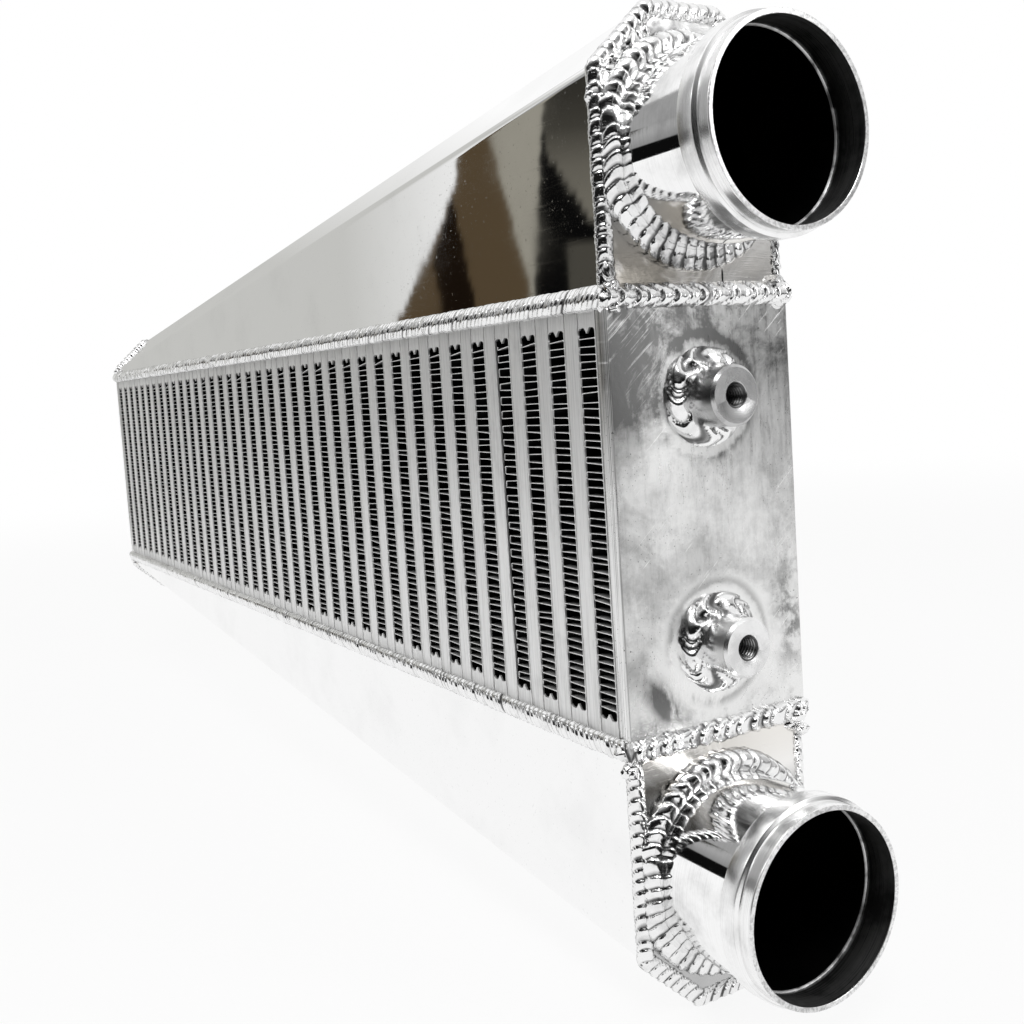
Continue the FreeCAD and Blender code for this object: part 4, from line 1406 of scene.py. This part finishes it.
def left_wall(turn, height):
    """Colour of the left wall: a brown panel with a dark wedge, a pale strip, a black gap and a low band."""
    edge = {name: np.interp(height, *places) for name, places in WALL_EDGES.items()}
    if turn < edge["panel"]:
        return None
    if height > 0.37:
        return (0.34, 0.34, 0.34)
    if turn < edge["strip"]:
        return (0.008, 0.005, 0.003) if edge["wedge"] < turn < edge["wedge_end"] else (0.080, 0.056, 0.031)
    if turn < edge["gap"]:
        return (0.30, 0.285, 0.24)
    if turn < BAND_START:
        low_patch = height < 0.182 and turn > -144.8
        tone = grey(height, (0.18, 0.19, 0.225, 0.26, 0.30, 0.335), (0.4, 1.0, 1.0, 0.8, 0.32, 0.2))[0]
        olive = (0.15 * tone, 0.14 * tone, 0.115 * tone)
        return olive if turn > edge["patch"] or low_patch else (0.003, 0.003, 0.003)
    return grey(height, (0.19, 0.30), (0.26, 0.38)) if height > 0.183 else (0.004, 0.004, 0.004)


def room_wall(turn, height):
    """Grey of the dark room behind the camera, which pales towards its ceiling."""
    return grey(height, (0.32, 0.60, 1.00), (0.010, 0.11, 0.45))


def side_wall(turn, height):
    """Grey of the wall that the plate and the caps face: dark low down, pale above."""
    return grey(height, (0.13, 0.20, 0.8), (0.09, 0.55, 0.62))


class COOLER_OT_stage(Undoable, bpy.types.Operator):
    """Set the camera, the floor, the lamps and the dark screens that the polish mirrors"""

    bl_idname = "cooler.stage"
    bl_label = "Stage"

    def camera(self, scene):
        data = bpy.data.cameras.new("camera")
        data.sensor_width = SENSOR
        data.lens = LENS
        data.shift_x, data.shift_y = CAMERA_SHIFT
        data.clip_start = 0.01
        made = bpy.data.objects.new("camera", data)
        ahead, right = Vector(CAMERA_AHEAD), Vector(CAMERA_RIGHT)
        right = (right - right.dot(ahead) * ahead).normalized()
        turn = Matrix((right, right.cross(ahead), -ahead)).transposed().to_4x4()
        made.matrix_world = Matrix.Translation(CAMERA_PLACE) @ turn
        scene.collection.objects.link(made)
        scene.camera = made

    def light_path(self, nodes, kind):
        return nodes.add("ShaderNodeLightPath", output=f"Is {kind} Ray")

    def looked_at(self, nodes):
        """1 for the rays that show a backdrop: the camera's, and those that metal and glass mirror."""
        seen = self.light_path(nodes, "Camera").largest(self.light_path(nodes, "Glossy"))
        return seen.largest(self.light_path(nodes, "Transmission"))

    def floor(self, scene):
        half, level = 4.0, CAD_BOX[0][2] - 0.0003
        corners = [(x * half, y * half, level) for x, y in ((-1, -1), (1, -1), (1, 1), (-1, 1))]
        material, nodes = new_finish("studio_floor")
        x, y, z = nodes.place()
        away = away_from(x, y).rise(0.6, 2.2)
        matt = nodes.add("ShaderNodeBsdfDiffuse", {}, {"Color": opaque(scene.cooler_colours.floor)})
        glow = nodes.add("ShaderNodeEmission", {}, {"Color": (1, 1, 1, 1), "Strength": 1.0})
        sockets = {0: self.looked_at(nodes) * (0.88 + 0.12 * away), 1: matt, 2: glow}
        nodes.surface(nodes.add("ShaderNodeMixShader", {}, sockets))
        made = as_object("studio_floor", Shape(corners, [[0, 1, 2, 3]]), material)

    def world(self, scene):
        world = bpy.data.worlds.new("studio")
        world.use_nodes = True
        world.node_tree.nodes.clear()
        scene.world = world
        nodes = Nodes(world.node_tree)
        strength = 0.55 + 0.45 * self.looked_at(nodes)
        sky = nodes.add("ShaderNodeBackground", {}, {"Color": (1, 1, 1, 1), "Strength": strength})
        nodes.add("ShaderNodeOutputWorld", {}, {"Surface": sky})

    def screen(self, name, radius, turns, heights, paint, soft=0.25, cells=(60, 24)):
        """A curved screen with soft edges round the near end. Only mirror rays see it: others pass through.

        paint is its colour, or a function of degrees round and metres up, which leaves the screen open
        where it gives none."""
        corners, veil, tones = [], [], []
        for share in np.arange(cells[0] + 1) / cells[0]:
            turn = turns[0] + (turns[1] - turns[0]) * share
            angle = math.radians(turn)
            for lift in np.arange(cells[1] + 1) / cells[1]:
                height = heights[0] + (heights[1] - heights[0]) * lift
                corners.append((NEAR_END + radius * math.cos(angle), radius * math.sin(angle), height))
                tone = paint(turn, height) if callable(paint) else paint
                sides = min(1.0, min(share, 1 - share) / soft)
                veil.append(0.0 if tone is None else sides * min(1.0, (1 - lift) / soft))
                tones.append(tone or (0.3, 0.3, 0.3))
        rows = cells[1] + 1
        starts = [i * rows + j for i in range(cells[0]) for j in range(cells[1])]
        faces = [[spot, spot + rows, spot + rows + 1, spot + 1] for spot in starts]
        material, nodes = new_finish(name)
        primaries = "red", "green", "blue"
        clear = nodes.add("ShaderNodeBsdfTransparent")
        shade = nodes.add("ShaderNodeCombineColor", {}, {c.title(): nodes.attribute(c) for c in primaries})
        lit = nodes.add("ShaderNodeEmission", {}, {"Color": shade, "Strength": 1.0})
        sockets = {0: self.light_path(nodes, "Glossy") * nodes.attribute("veil"), 1: clear, 2: lit}
        nodes.surface(nodes.add("ShaderNodeMixShader", {}, sockets))
        layers = {"veil": veil, **dict(zip(primaries, np.array(tones).T))}
        made = as_object(name, Shape(corners, faces, layers), material)

    def execute(self, context):
        scene = context.scene
        scene.view_settings.view_transform = "Standard"
        self.camera(scene)
        self.floor(scene)
        self.world(scene)
        stage_light("key_lamp", 9, (0.7, 0.7), (1.1, -0.5, 1.5), (0.2, 0, 0))
        stage_light("side_lamp", 3, (0.25, 0.9), (1.3, 0.6, 0.5), (0.3, 0, 0))
        stage_light("front_lamp", 6, (1.4, 0.5), (-0.3, -1.6, 1.3), (0, 0, 0))
        ground = CAD_BOX[0][2]
        self.screen("room_screen", 1.15, (-128, 22), (ground, 1.15), room_wall, 0.10)
        self.screen("left_screen", 0.85, (-162, -124), (0.04, 0.9), left_wall, 0.10, (228, 86))
        self.screen("side_screen", 1.2, (24, 80), (-0.02, 0.8), side_wall, 0.25)
        self.screen("pale_screen", 1.5, (-200, -148), (ground, 1.2), (0.56, 0.56, 0.54), 0.2)
        return {"FINISHED"}


OPERATORS = [
    COOLER_OT_bars,
    COOLER_OT_closing_bars,
    COOLER_OT_fins,
    COOLER_OT_side_plates,
    COOLER_OT_tanks,
    COOLER_OT_pipes,
    COOLER_OT_bosses,
    COOLER_OT_core_welds,
    COOLER_OT_cap_welds,
    COOLER_OT_pipe_welds,
    COOLER_OT_boss_welds,
    COOLER_OT_stage,
]


class COOLER_PT_panel(bpy.types.Panel):
    """The intercooler's pieces in the sidebar"""

    bl_idname = "COOLER_PT_panel"
    bl_label = "Intercooler"
    bl_space_type = "VIEW_3D"
    bl_region_type = "UI"
    bl_category = "Intercooler"

    def draw(self, context):
        for name, group in PROPERTY_GROUPS.items():
            box = self.layout.box()
            box.label(text=group.__name__)
            for field in group.__annotations__:
                box.prop(getattr(context.scene, name), field)
        for operator in OPERATORS:
            self.layout.operator(operator.bl_idname)


def register():
    for name, group in PROPERTY_GROUPS.items():
        bpy.utils.register_class(group)
        setattr(bpy.types.Scene, name, PointerProperty(type=group))
    for operator in OPERATORS:
        bpy.utils.register_class(operator)
    bpy.utils.register_class(COOLER_PT_panel)


def unregister():
    bpy.utils.unregister_class(COOLER_PT_panel)
    for operator in reversed(OPERATORS):
        bpy.utils.unregister_class(operator)
    for name, group in PROPERTY_GROUPS.items():
        delattr(bpy.types.Scene, name)
        bpy.utils.unregister_class(group)


def main():
    register()
    for operator in OPERATORS:
        group, call = operator.bl_idname.split(".")
        getattr(getattr(bpy.ops, group), call)()


if __name__ == "__main__":
    main()
